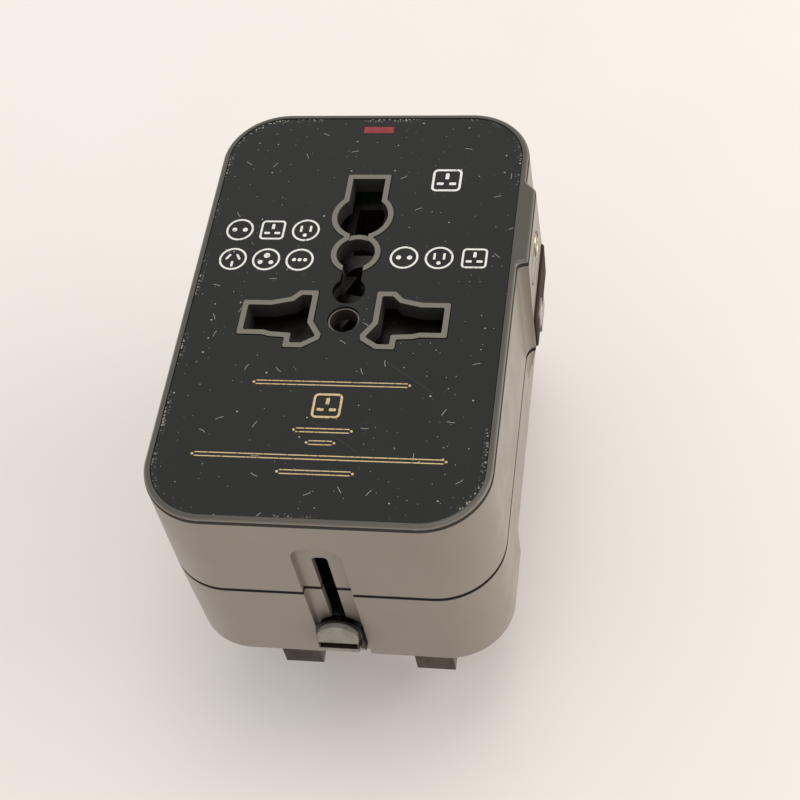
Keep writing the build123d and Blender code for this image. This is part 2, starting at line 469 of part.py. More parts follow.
# Back half of the case: wall, pin windows, guide ribs and screw tubes
with BuildPart() as back_shell:
    case_half((BACK_W, BACK_L, BACK_R), 0, (MID_W, MID_L, MID_R), SPLIT_BOTTOM)
    fillet(back_shell.faces().sort_by(Axis.Z)[0].outer_wire().edges(), BACK_EDGE_R)
    taper_low, taper_top = US_KNOB_Y - SIDE_RECESS_BELOW, US_KNOB_Y + SIDE_RECESS_ABOVE
    with BuildSketch(Plane.XZ.offset(-taper_top)):
        with BuildLine():
            Polyline(
                (SIDE_FLOOR_X, 0), (MID_W / 2, SPLIT_BOTTOM), (FRONT_W, SPLIT_BOTTOM), (FRONT_W, -1),
                (SIDE_FLOOR_X, -1), close=True,
            )
        make_face()
    extrude(amount=taper_top - taper_low, mode=Mode.SUBTRACT)
    fade_x = HUMP_X - HUMP_FADE_IN
    fade = hump_outline(
        Plane.XY.offset(HUMP_FADE_Z), fade_x - 0.2, fade_x, HUMP_MID_BELOW, HUMP_MID_ABOVE, HUMP_MID_RUN
    )
    loft([fade, hump_at_split(SPLIT_BOTTOM)], ruled=True)
    with BuildSketch(Plane.XY.offset(SPLIT_BOTTOM)):
        tongue = 2 * TONGUE_T
        RectangleRounded(CAVITY_W + tongue, CAVITY_L + tongue, CAVITY_R + TONGUE_T)
    extrude(amount=SPLIT_GAP + TONGUE_H - TONGUE_GAP)
    with BuildSketch(Plane.XY.offset(BACK_WALL)):
        RectangleRounded(CAVITY_W, CAVITY_L, CAVITY_R)
    extrude(amount=DEPTH, mode=Mode.SUBTRACT)
    with screw_places():
        with Locations((0, 0, BACK_WALL)):
            Cylinder(
                BOSS_R, SPLIT_BOTTOM - BACK_WALL - 0.1, align=(Align.CENTER, Align.CENTER, Align.MIN)
            )
        Cylinder(
            SCREW_HEAD_R + 0.3, SCREW_SEAT_Z, align=(Align.CENTER, Align.CENTER, Align.MIN),
            mode=Mode.SUBTRACT,
        )
        Cylinder(
            SCREW_R + 0.15, DEPTH, align=(Align.CENTER, Align.CENTER, Align.MIN), mode=Mode.SUBTRACT
        )
    with BuildSketch():
        with Locations((-UK_SPACING / 2, UK_LINE_Y), (UK_SPACING / 2, UK_LINE_Y)):
            RectangleRounded(UK_PIN_W + 2 * PIN_HOLE_GAP, UK_PIN_T + 2 * PIN_HOLE_GAP, 0.6)
        with Locations((0, UK_EARTH_Y)):
            RectangleRounded(UK_EARTH_W + 2 * PIN_HOLE_GAP, UK_EARTH_H + 2 * PIN_HOLE_GAP, 0.6)
        with Locations((-EU_SPACING / 2, EU_LINE_Y), (EU_SPACING / 2, EU_LINE_Y)):
            Circle(EU_PIN_R + PIN_HOLE_GAP)
        with Locations((0, FUSE_Y)):
            RectangleRounded(DRAWER_W + 2 * DRAWER_GAP, DRAWER_H + 2 * DRAWER_GAP, 0.9)
        add(blade_windows.sketch)
    extrude(amount=BACK_WALL, mode=Mode.SUBTRACT)
    for x in (-1, 1):
        rib_x = UK_PLATE_W / 2 + GUIDE_GAP
        rib_y = UK_LINE_Y + UK_RIB_BELOW
        slab(x * rib_x, x * (rib_x + RIB_T - 0.1), rib_y, rib_y + UK_RIB_LEN, BACK_WALL, UK_RIB_TOP)
    eu_rib_x = EU_PLATE_W / 2 + GUIDE_GAP
    slab(eu_rib_x, eu_rib_x + RIB_T, EU_LINE_Y - 3.5, EU_LINE_Y + 2.5, BACK_WALL, EU_PLATE_Z + PLATE_T)
    us_rib_x = US_PLATE_W / 2 + GUIDE_GAP
    slab(-us_rib_x - RIB_T, -us_rib_x, US_LINE_Y - 2.5, US_LINE_Y + 1.5, BACK_WALL, US_PLATE_Z + PLATE_T)
    knob_recess(DEPTH)
    channel(END_PLANE, UK_CHANNEL_W, UK_CHANNEL_TOP)
    channel(LEFT_PLANE, EU_CHANNEL_L, EU_CHANNEL_TOP)
    with BuildSketch(END_PLANE.offset(2)) as window:
        with Locations((0, (BACK_WALL + UK_WINDOW_TOP) / 2)):
            Rectangle(UK_WINDOW_W, UK_WINDOW_TOP - BACK_WALL)
        fillet(window.vertices().group_by(Axis.Y)[-1], UK_WINDOW_W / 2 - 0.3)
    extrude(amount=-5, mode=Mode.SUBTRACT)
    slider_slots()
save(back_shell, "back_shell")


# Glossy panel let into the socket face
with BuildPart() as face_panel:
    with BuildSketch(Plane.XY.offset(PANEL_BACK)):
        panel_in = 2 * (BEZEL + PANEL_GAP)
        RectangleRounded(FRONT_W - panel_in, FRONT_L - panel_in, FRONT_R - panel_in / 2)
        add(line_holes(-PANEL_GAP), mode=Mode.SUBTRACT)
        add(earth_hole(-PANEL_GAP), mode=Mode.SUBTRACT)
        add(keyhole.sketch, mode=Mode.SUBTRACT)
        with Locations((0, SOCKET_LINE_Y)):
            Circle(CENTRE_R, mode=Mode.SUBTRACT)
        with Locations((0, LENS_Y)):
            Rectangle(LENS_W + 0.1, LENS_H + 0.1, mode=Mode.SUBTRACT)
    extrude(amount=PANEL_T)
save(face_panel, "face_panel")


# Red light pipe: a bar that shows in the panel, over a flange under the face wall
with BuildPart() as lamp_lens:
    slab(-LENS_W / 2, LENS_W / 2, LENS_Y - LENS_H / 2, LENS_Y + LENS_H / 2, FACE_IN, PANEL_FRONT)
    slab(-LENS_W / 2 - LENS_FLANGE, LENS_W / 2 + LENS_FLANGE, LENS_Y - LENS_H / 2 - LENS_FLANGE,
         LENS_Y + LENS_H / 2 + LENS_FLANGE / 2, FACE_IN - LENS_FLANGE_T, FACE_IN)
save(lamp_lens, "lamp_lens")


def pin_head(x, y, z, width, height, lug_x=0, lug_y=0):
    """Add the head that holds a pin in its carriage, with a lug that wipes its contact."""
    slab(x - width / 2, x + width / 2, y - height / 2, y + height / 2, z, z + HEAD_T)
    if lug_x:
        slab(x, lug_x, y - 0.6, y + 0.6, z, z + HEAD_T)
    if lug_y:
        slab(x - 1.3, x + 1.3, y, lug_y, z, z + HEAD_T)


# British plug: carriage with its stem, three pins and the sleeves on two of them
UK_TOP_Z = UK_PLATE_Z + PLATE_T
with BuildPart() as uk_carriage:
    slab(-UK_PLATE_W / 2, UK_PLATE_W / 2, UK_PLATE_LOW_Y, UK_PLATE_TOP_Y, UK_PLATE_Z, UK_TOP_Z)
    slab(-UK_TONGUE_W / 2, UK_TONGUE_W / 2, UK_PLATE_TOP_Y, UK_TONGUE_TOP_Y, UK_PLATE_Z, UK_TOP_Z)
    slab(-UK_DISH_W / 2, UK_DISH_W / 2, -CAVITY_L / 2 + GUIDE_GAP, UK_PLATE_LOW_Y, UK_PLATE_Z, UK_DISH_TOP)
    with BuildSketch(Plane.YZ) as scoop:
        with Locations((-CAVITY_L / 2 - 1.2, UK_DISH_TOP + 0.3)):
            Circle(UK_SCOOP_R)
    extrude(scoop.sketch, amount=UK_DISH_W, both=True, mode=Mode.SUBTRACT)
    slab(-UK_STEM_W / 2, UK_STEM_W / 2, -END_FLOOR_Y - UK_STEM_OUT, UK_PLATE_LOW_Y, UK_STEM_LOW, UK_STEM_TOP)
    for x in (-UK_SPACING / 2, UK_SPACING / 2):
        slab(x - UK_PIN_W / 2, x + UK_PIN_W / 2, UK_LINE_Y - UK_PIN_T / 2, UK_LINE_Y + UK_PIN_T / 2, 0,
             DEPTH, Mode.SUBTRACT)
    slab(-UK_EARTH_W / 2, UK_EARTH_W / 2, UK_EARTH_Y - UK_EARTH_H / 2, UK_EARTH_Y + UK_EARTH_H / 2, 0, DEPTH,
         Mode.SUBTRACT)
save(uk_carriage, "uk_carriage")


def uk_line_pin(x, side, name):
    """One of the two short flat pins, with its waist for the sleeve and its chamfered tip."""
    with BuildPart() as pin:
        slab(x - UK_PIN_W / 2, x + UK_PIN_W / 2, UK_LINE_Y - UK_PIN_T / 2, UK_LINE_Y + UK_PIN_T / 2,
             -UK_PIN_LEN, UK_TOP_Z)
        chamfer(pin.faces().sort_by(Axis.Z)[0].edges(), UK_TIP)
        with BuildSketch(Plane.XY.offset(-UK_SLEEVE_LEN)) as sleeve:
            with Locations((x, UK_LINE_Y)):
                Rectangle(UK_PIN_W, UK_PIN_T)
                Rectangle(UK_PIN_W - 2 * UK_SLEEVE_T, UK_PIN_T - 2 * UK_SLEEVE_T, mode=Mode.SUBTRACT)
        extrude(sleeve.sketch, amount=UK_SLEEVE_LEN, mode=Mode.SUBTRACT)
        pin_head(x, UK_LINE_Y, UK_TOP_Z, UK_PIN_W + 0.8, UK_PIN_T + 1.2, lug_x=side * (BUS_X - 0.05))
    save(pin, name)
    return sleeve.sketch


live_sleeve = uk_line_pin(UK_SPACING / 2, 1, "uk_live_pin")
neutral_sleeve = uk_line_pin(-UK_SPACING / 2, -1, "uk_neutral_pin")

with BuildPart() as uk_pin_sleeves:
    extrude(live_sleeve, amount=UK_SLEEVE_LEN)
    extrude(neutral_sleeve, amount=UK_SLEEVE_LEN)
save(uk_pin_sleeves, "uk_pin_sleeves")

with BuildPart() as uk_earth_pin:
    slab(-UK_EARTH_W / 2, UK_EARTH_W / 2, UK_EARTH_Y - UK_EARTH_H / 2, UK_EARTH_Y + UK_EARTH_H / 2,
         -UK_EARTH_LEN, UK_TOP_Z)
    chamfer(uk_earth_pin.faces().sort_by(Axis.Z)[0].edges(), UK_TIP)
    pin_head(0, UK_EARTH_Y, UK_TOP_Z, UK_EARTH_W + 1.2, UK_EARTH_H)
    slab(0, EARTH_LEG_X + LEG_EARTH_W, EARTH_LEG_Y - 1.4, EARTH_LEG_Y - 0.05, UK_TOP_Z, UK_TOP_Z + HEAD_T)
save(uk_earth_pin, "uk_earth_pin")


def arch(width, low, top, drop, near, far):
    """Add an arch seen from the lower end face, between two distances out from the channel's floor."""
    with BuildSketch(END_PLANE.offset(near)) as outline:
        with BuildLine():
            Line((-width / 2, low), (width / 2, low))
            Line((width / 2, low), (width / 2, top - drop))
            ThreePointArc((width / 2, top - drop), (0, top), (-width / 2, top - drop))
            Line((-width / 2, top - drop), (-width / 2, low))
        make_face()
    extrude(outline.sketch, amount=far - near)


def side_cut(points, width):
    """Keep what lies inside an outline seen from the right, given as distance out and height."""
    with BuildSketch(Plane.YZ) as outline:
        with BuildLine():
            Polyline(*[(-END_FLOOR_Y - out, z) for out, z in points], close=True)
        make_face()
    extrude(outline.sketch, amount=width, both=True, mode=Mode.INTERSECT)


# Thumb knob of the British plug: a black collar that carries a pale leaning pad
KNOB_OVER = UK_CHANNEL_DEPTH + UK_KNOB_OVER_GAP
PAD_TOP_OUT = UK_PAD_OUT - UK_PAD_LEAN
with BuildPart() as uk_knob:
    arch(UK_KNOB_W, UK_KNOB_LOW, UK_COLLAR_TOP, UK_COLLAR_DROP, KNOB_OVER, UK_PAD_OUT)
    side_cut(
        [
            (KNOB_OVER, UK_KNOB_LOW), (UK_KNOB_FOOT, UK_KNOB_LOW), (UK_PAD_OUT - UK_PAD_T, UK_PAD_LOW),
            (PAD_TOP_OUT - UK_PAD_T, UK_PAD_TOP), (PAD_TOP_OUT - UK_PAD_T, UK_COLLAR_TOP),
            (KNOB_OVER + 0.2, UK_COLLAR_TOP), (KNOB_OVER, UK_KNOB_TOP),
        ],
        UK_KNOB_W,
    )
    arch(UK_KNOB_W, UK_KNOB_LOW, UK_KNOB_TOP, UK_KNOB_DROP, UK_KNOB_FLOOR_GAP, KNOB_OVER)
    slab(-UK_STEM_W / 2, UK_STEM_W / 2, -END_FLOOR_Y - UK_STEM_OUT, 0, UK_STEM_LOW, UK_STEM_TOP,
         Mode.SUBTRACT)
save(uk_knob, "uk_knob")

with BuildPart() as uk_knob_pad:
    arch(UK_PAD_W, UK_PAD_LOW, UK_PAD_TOP, UK_PAD_DROP, KNOB_OVER, UK_PAD_OUT)
    side_cut(
        [
            (UK_PAD_OUT - UK_PAD_T, UK_PAD_LOW), (UK_PAD_OUT, UK_PAD_LOW), (PAD_TOP_OUT, UK_PAD_TOP),
            (PAD_TOP_OUT - UK_PAD_T, UK_PAD_TOP),
        ],
        UK_PAD_W,
    )
    slab(-UK_PAD_W / 2 + UK_PAD_WEB, UK_PAD_W / 2 - UK_PAD_WEB, -END_FLOOR_Y - 2 * UK_PAD_OUT, 0,
         UK_PAD_SLOT_LOW, UK_PAD_SLOT_TOP, Mode.SUBTRACT)
save(uk_knob_pad, "uk_knob_pad")


def side_block(side, points, low_y, top_y, mode=Mode.ADD):
    """Add a block to a side wall's piece from its outline seen along the wall."""
    with BuildSketch(Plane.XZ.offset(-top_y)) as section:
        with BuildLine():
            Polyline(*[(side * x, z) for x, z in points], close=True)
        make_face()
    extrude(section.sketch, amount=top_y - low_y, mode=mode)


def side_knob(side, y, low, length, height, out, lean, stem_y, stem_z, pad_y, name):
    """A thumb knob on a side wall, let on to its carriage's stem, with a pale pad in its face."""
    inner, outer, top = SIDE_FLOOR_X + KNOB_GAP, FRONT_W / 2 + out, low + height
    pad_low, pad_top = low + (height - PAD_H) / 2, low + (height + PAD_H) / 2
    low_face, top_face = (outer - lean * (top - z) / height for z in (pad_low, pad_top))
    pad = [
        (low_face - PAD_DEEP, pad_low), (low_face + PAD_PROUD, pad_low), (top_face + PAD_PROUD, pad_top),
        (top_face - PAD_DEEP, pad_top),
    ]
    with BuildPart() as knob:
        side_block(side, [(inner, low), (outer - lean, low), (outer, top), (inner, top)], y - length / 2,
                   y + length / 2)
        fillet(knob.edges().filter_by(Axis.X), 0.8)
        fillet(knob.faces().sort_by(Axis.X)[-1 if side > 0 else 0].edges(), 0.35)
        slab(side * inner / 2, side * (inner + STEM_GRIP), stem_y[0], stem_y[1], stem_z, stem_z + PLATE_T,
             Mode.SUBTRACT)
        side_block(side, pad, pad_y - PAD_L / 2, pad_y + PAD_L / 2, Mode.SUBTRACT)
    save(knob, name)
    with BuildPart() as knob_pad:
        side_block(side, pad, pad_y - PAD_L / 2, pad_y + PAD_L / 2)
        fillet(knob_pad.faces().sort_by(Axis.X)[-1 if side > 0 else 0].edges(), 0.2)
    save(knob_pad, name + "_pad")


# European plug, slid in: carriage with its stem, two round pins, sleeves and knob
EU_TOP_Z = EU_PLATE_Z + PLATE_T
with BuildPart() as eu_carriage:
    slab(-EU_PLATE_W / 2, EU_PLATE_W / 2, EU_LINE_Y - EU_PLATE_H / 2, EU_LINE_Y + EU_PLATE_H / 2, EU_PLATE_Z,
         EU_TOP_Z)
    slab(-SIDE_FLOOR_X - KNOB_GAP - STEM_GRIP, 0, EU_LINE_Y - EU_STEM_L / 2, EU_LINE_Y + EU_STEM_L / 2,
         EU_PLATE_Z, EU_TOP_Z)
    with Locations((-EU_SPACING / 2, EU_LINE_Y, EU_PLATE_Z), (EU_SPACING / 2, EU_LINE_Y, EU_PLATE_Z)):
        Cylinder(EU_PIN_R, PLATE_T, align=(Align.CENTER, Align.CENTER, Align.MIN), mode=Mode.SUBTRACT)
save(eu_carriage, "eu_carriage")


def eu_pin(x, name):
    """One round pin with a domed tip, a waist for its sleeve and a head with a lug."""
    root_z = EU_PLATE_Z - BACK_WALL - REST_GAP
    with BuildPart() as pin:
        with BuildSketch(Plane.XZ.offset(-EU_LINE_Y)) as profile:
            with BuildLine():
                Polyline(
                    (x, 0), (x + EU_PIN_R - 1.0, 0), (x + EU_PIN_R, 1.0),
                    (x + EU_PIN_R, root_z - EU_SLEEVE_LEN),
                    (x + EU_PIN_R - EU_SLEEVE_T, root_z - EU_SLEEVE_LEN),
                    (x + EU_PIN_R - EU_SLEEVE_T, root_z), (x + EU_PIN_R, root_z),
                    (x + EU_PIN_R, EU_TOP_Z), (x, EU_TOP_Z), close=True,
                )
            make_face()
        revolve(profile.sketch, axis=Axis((x, EU_LINE_Y, 0), (0, 0, 1)))
        pin_head(x, EU_LINE_Y, EU_TOP_Z, 5.4, 5.4, lug_y=EU_LEG_Y + STRIP_T + 0.05)
    save(pin, name)


eu_pin(EU_SPACING / 2, "eu_live_pin")
eu_pin(-EU_SPACING / 2, "eu_neutral_pin")

with BuildPart() as eu_pin_sleeves:
    with Locations((-EU_SPACING / 2, EU_LINE_Y, EU_PIN_LEN), (EU_SPACING / 2, EU_LINE_Y, EU_PIN_LEN)):
        Cylinder(EU_PIN_R, EU_SLEEVE_LEN, align=(Align.CENTER, Align.CENTER, Align.MAX))
        Cylinder(
            EU_PIN_R - EU_SLEEVE_T, EU_SLEEVE_LEN, align=(Align.CENTER, Align.CENTER, Align.MAX),
            mode=Mode.SUBTRACT,
        )
save(eu_pin_sleeves, "eu_pin_sleeves")

side_knob(
    -1, EU_LINE_Y, EU_KNOB_LOW, EU_KNOB_L, EU_KNOB_H, EU_KNOB_OUT, EU_KNOB_LEAN,
    (EU_LINE_Y - EU_STEM_L / 2, EU_LINE_Y + EU_STEM_L / 2), EU_PLATE_Z, EU_LINE_Y, "eu_knob",
)


# American plug, slid in: carriage with its arm and stem, two blades that turn, and knob
US_TOP_Z = US_PLATE_Z + PLATE_T
with BuildPart() as us_carriage:
    plate_top_y = US_LINE_Y + US_PLATE_H / 2 - US_PLATE_DROP
    slab(-US_PLATE_W / 2, US_ARM_X, plate_top_y - US_PLATE_H + 0.1, plate_top_y, US_PLATE_Z, US_TOP_Z)
    slab(US_ARM_X, US_ARM_X + US_ARM_T, US_ARM_LOW_Y, plate_top_y, US_PLATE_Z, US_TOP_Z)
    slab(US_ARM_X, SIDE_FLOOR_X + KNOB_GAP + STEM_GRIP, US_ARM_LOW_Y, US_ARM_TOP_Y, US_PLATE_Z, US_TOP_Z)
    with Locations((-US_SPACING / 2, US_LINE_Y, US_PLATE_Z), (US_SPACING / 2, US_LINE_Y, US_PLATE_Z)):
        Cylinder(
            US_PIVOT_R + US_PIVOT_GAP, PLATE_T, align=(Align.CENTER, Align.CENTER, Align.MIN),
            mode=Mode.SUBTRACT,
        )
save(us_carriage, "us_carriage")


def us_blade(x, name):
    """One flat blade on a round pivot, held by a disc that wipes its contact."""
    with BuildPart() as blade:
        slab(x - US_BLADE_T / 2, x + US_BLADE_T / 2, US_LINE_Y - US_BLADE_W / 2, US_LINE_Y + US_BLADE_W / 2,
             0, US_PLATE_Z - 0.1)
        chamfer(blade.faces().sort_by(Axis.Z)[0].edges(), 0.35)
        with Locations((x, US_LINE_Y, US_PLATE_Z - 0.1)):
            Cylinder(US_PIVOT_R, PLATE_T + 0.2, align=(Align.CENTER, Align.CENTER, Align.MIN))
        with Locations((x, US_LINE_Y, US_TOP_Z + 0.1)):
            Cylinder(US_HEAD_R, HEAD_T, align=(Align.CENTER, Align.CENTER, Align.MIN))
    save(blade, name)


us_blade(US_SPACING / 2, "us_live_blade")
us_blade(-US_SPACING / 2, "us_neutral_blade")

side_knob(
    1, US_KNOB_Y, US_KNOB_LOW, US_KNOB_L, US_KNOB_H, US_KNOB_OUT, US_KNOB_LEAN,
    (US_ARM_LOW_Y, US_ARM_TOP_Y), US_PLATE_Z, US_KNOB_Y + US_PAD_SHIFT, "us_knob",
)


def line_clip(side):
    """The clip of one line: two leaves that grip a plug's pin between them."""
    outer = side * (BUS_X + STRIP_T)
    for y in (CLIP_Y + CLIP_GAP / 2, CLIP_Y - CLIP_GAP / 2 - STRIP_T):
        slab(side * CLIP_INNER_X, outer, y, y + STRIP_T, CLIP_LOW_Z, HOUSING_LOW_Z)
    slab(side * BUS_X, outer, CLIP_Y - CLIP_GAP / 2, CLIP_Y + CLIP_GAP / 2, CLIP_LOW_Z, HOUSING_LOW_Z)


def plug_bus(side, with_clip):
    """The bar that joins the three plugs' contacts of one line, with a leg to each."""
    outer = side * (BUS_X + STRIP_T)
    low_y = UK_LINE_Y - 0.4
    if with_clip:
        slab(side * BUS_X, outer, low_y, US_LEG_Y + STRIP_T, BUS_LOW_Z, BUS_TOP_Z)
    else:
        slab(side * BUS_X, outer, low_y, CLIP_Y - CLIP_GAP / 2 - STRIP_T - 1.0, BUS_LOW_Z, BUS_TOP_Z)
        slab(side * (BUS_X + 1.4), side * (BUS_X + 1.4 + STRIP_T), CLIP_Y - CLIP_GAP / 2 - 3.4,
             CLIP_Y + CLIP_GAP / 2 + 3.4, BUS_LOW_Z, LINK_TOP_Z)
        for y in (CLIP_Y - CLIP_GAP / 2 - 3.4, CLIP_Y + CLIP_GAP / 2 + 3.4 - STRIP_T):
            slab(side * BUS_X, side * (BUS_X + 1.4 + STRIP_T), y, y + STRIP_T, BUS_LOW_Z, LINK_TOP_Z)
        slab(side * BUS_X, outer, CLIP_Y + CLIP_GAP / 2 + 3.4 - STRIP_T, US_LEG_Y + STRIP_T, BUS_LOW_Z,
             LINK_TOP_Z)
    slab(side * BUS_X, outer, low_y, UK_LINE_Y + LEG_W / 2 + 0.4, UK_TOP_Z, BUS_LOW_Z)
    eu_x = EU_SPACING / 2
    slab(side * (eu_x - LEG_W / 2), outer, EU_LEG_Y, EU_LEG_Y + STRIP_T, BUS_LOW_Z, LINK_TOP_Z)
    slab(side * (eu_x - LEG_W / 2), side * (eu_x + LEG_W / 2), EU_LEG_Y, EU_LEG_Y + STRIP_T, LEG_LOW_Z,
         BUS_LOW_Z)
    us_x = US_SPACING / 2
    slab(side * (us_x - LEG_W / 2), outer, US_LEG_Y, US_LEG_Y + STRIP_T, BUS_LOW_Z, LINK_TOP_Z)
    slab(side * (us_x - LEG_W / 2), side * (us_x + LEG_W / 2), US_LEG_Y, US_LEG_Y + STRIP_T, LEG_LOW_Z,
         BUS_LOW_Z)


def fuse_grip(side, top_z):
    """The fork that grips one end cap of the fuse, and the riser above it."""
    in_x, out_x = side * (FUSE_LEN / 2 - FUSE_CAP_LEN + 2.6), side * FUSE_LEN / 2
    gap = FUSE_R + FUSE_GRIP_GAP
    for y in (FUSE_Y + gap, FUSE_Y - gap - FUSE_GRIP_T):
        slab(in_x, out_x, y, y + FUSE_GRIP_T, FUSE_Z - 2.0, FUSE_Z + gap + FUSE_GRIP_T)
    slab(in_x, out_x, FUSE_Y - gap, FUSE_Y + gap, FUSE_Z + gap, FUSE_Z + gap + FUSE_GRIP_T)
    slab(in_x, out_x, FUSE_Y + gap, FUSE_Y + gap + FUSE_GRIP_T, FUSE_Z, top_z)


with BuildPart() as neutral_contact:
    line_clip(-1)
    plug_bus(-1, True)
save(neutral_contact, "neutral_contact")

with BuildPart() as live_bus:
    plug_bus(1, False)
    fuse_grip(1, LINK_TOP_Z)
    rise_y = FUSE_Y + FUSE_R + FUSE_GRIP_GAP
    slab(FUSE_LEN / 2 - 1, BUS_X, rise_y, rise_y + FUSE_GRIP_T, BUS_LOW_Z, LINK_TOP_Z)
save(live_bus, "live_bus")

with BuildPart() as live_contact:
    line_clip(1)
    slab(FUSED_X, FUSED_X + STRIP_T, CLIP_Y + CLIP_GAP / 2, FUSED_Y + STRIP_T, FUSED_LOW_Z, BUS_TOP_Z)
    slab(-FUSE_LEN / 2 + 1, FUSED_X, FUSED_Y, FUSED_Y + STRIP_T, FUSED_LOW_Z, BUS_TOP_Z)
    slab(-FUSE_LEN / 2, -FUSE_LEN / 2 + 3.4, rise_y, FUSED_Y + STRIP_T, FUSED_LOW_Z, BUS_TOP_Z)
    fuse_grip(-1, BUS_TOP_Z)
save(live_contact, "live_contact")

with BuildPart() as earth_contact:
    half = EARTH_PLATE_W / 2
    slab(-half, half, EARTH_PLATE_LOW_Y, EARTH_PIN_Y + 5, EARTH_PLATE_Z, HOUSING_LOW_Z)
    with Locations((0, LOWER_ROUND_Y, EARTH_PLATE_Z)):
        Cylinder(LOWER_ROUND_R - RIM_T + 0.2, 4, mode=Mode.SUBTRACT)
    with Locations((0, KEY_Y, EARTH_PLATE_Z)):
        Cylinder(KEY_R + 0.1, 4, mode=Mode.SUBTRACT)
    slab(-EARTH_LEAF_GAP / 2, EARTH_LEAF_GAP / 2, EARTH_PIN_Y - 4.3, EARTH_PIN_Y + 4.3, 0, DEPTH,
         Mode.SUBTRACT)
    for side in (-1, 1):
        slab(side * EARTH_LEAF_GAP / 2, side * (EARTH_LEAF_GAP / 2 + EARTH_LEAF_T), EARTH_PIN_Y - 3.4,
             EARTH_PIN_Y + 3.4, EARTH_LOW_Z, EARTH_PLATE_Z)
    slab(EARTH_LEG_X, EARTH_LEG_X + LEG_EARTH_W, EARTH_LEG_Y, EARTH_PLATE_LOW_Y + 1, EARTH_PLATE_Z,
         HOUSING_LOW_Z)
    slab(EARTH_LEG_X, EARTH_LEG_X + LEG_EARTH_W, EARTH_LEG_Y, EARTH_LEG_Y + STRIP_T, UK_TOP_Z, EARTH_PLATE_Z)
save(earth_contact, "earth_contact")


# Fuse in the saddle of its drawer, which pulls out of the back face
with BuildPart() as fuse_drawer:
    with BuildSketch(Plane.XY):
        with Locations((0, FUSE_Y)):
            RectangleRounded(DRAWER_W, DRAWER_H, 0.7)
    extrude(amount=BACK_WALL)
    slab(-FUSE_LEN / 2 + FUSE_CAP_LEN, FUSE_LEN / 2 - FUSE_CAP_LEN, FUSE_Y - 3.2, FUSE_Y + 3.2, BACK_WALL,
         FUSE_Z)
    with BuildSketch(Plane.YZ) as fuse_body:
        with Locations((FUSE_Y, FUSE_Z)):
            Circle(FUSE_BODY_R)
    extrude(fuse_body.sketch, amount=FUSE_LEN, both=True, mode=Mode.SUBTRACT)
    slab(-3.5, 3.5, FUSE_Y - 0.6, FUSE_Y + 0.6, -1, 0.7, Mode.SUBTRACT)
save(fuse_drawer, "fuse_drawer")

with BuildPart() as fuse_tube:
    extrude(fuse_body.sketch, amount=FUSE_LEN / 2 - 0.5, both=True)
save(fuse_tube, "fuse_tube")

with BuildPart() as fuse_caps:
    for x in (-FUSE_LEN / 2, FUSE_LEN / 2 - FUSE_CAP_LEN):
        with BuildSketch(Plane.YZ.offset(x)) as cap:
            with Locations((FUSE_Y, FUSE_Z)):
                Circle(FUSE_R)
        extrude(cap.sketch, amount=FUSE_CAP_LEN)
    extrude(fuse_body.sketch, amount=FUSE_LEN / 2 - 0.5, both=True, mode=Mode.SUBTRACT)
save(fuse_caps, "fuse_caps")


# Housing that holds the contacts under the shutter
with BuildPart() as contact_housing:
    slab(-HOUSING_W / 2, HOUSING_W / 2, HOUSING_LOW_Y, HOUSING_TOP_Y, HOUSING_LOW_Z, HOUSING_TOP_Z)
    fillet(contact_housing.edges().filter_by(Axis.Z), 2)
    well_x, well_y = UK_EARTH_W / 2 + WELL_GAP, UK_EARTH_H / 2 + WELL_GAP
    slab(-well_x - WELL_RIM_T, well_x + WELL_RIM_T, EARTH_PIN_Y - WELL_RIM_BELOW,
         EARTH_PIN_Y + well_y + WELL_RIM_T, HOUSING_TOP_Z, HOUSING_TOP_Z + WELL_RIM_H)
    slab(-well_x, well_x, EARTH_PIN_Y - well_y, EARTH_PIN_Y + well_y, HOUSING_LOW_Z, DEPTH, Mode.SUBTRACT)
    with BuildSketch(Plane.XY.offset(HOUSING_LOW_Z)):
        add(line_holes(RIM_T))
        with Locations((0, LOWER_ROUND_Y)):
            Circle(LOWER_ROUND_R - RIM_T)
        with Locations((0, KEY_Y)):
            Circle(KEY_R)
        with Locations((0, SOCKET_LINE_Y)):
            Circle(CENTRE_R - CENTRE_COLLAR_T)
    extrude(amount=HOUSING_T, mode=Mode.SUBTRACT)
    for side in (-1, 1):
        slab(side * (BUS_X + STRIP_T + 0.1), side * (BUS_X + STRIP_T + 0.1 + RIB_T / 2), CLIP_Y - 1.5,
             CLIP_Y + 1.5, CLIP_LOW_Z, HOUSING_LOW_Z)
        slab(side * (BUS_X - 0.5), side * (BUS_X + STRIP_T + 0.5), LOWER_ROUND_Y - 1.3, LOWER_ROUND_Y + 2.7,
             LINK_TOP_Z if side > 0 else BUS_TOP_Z, HOUSING_LOW_Z)
save(contact_housing, "contact_housing")


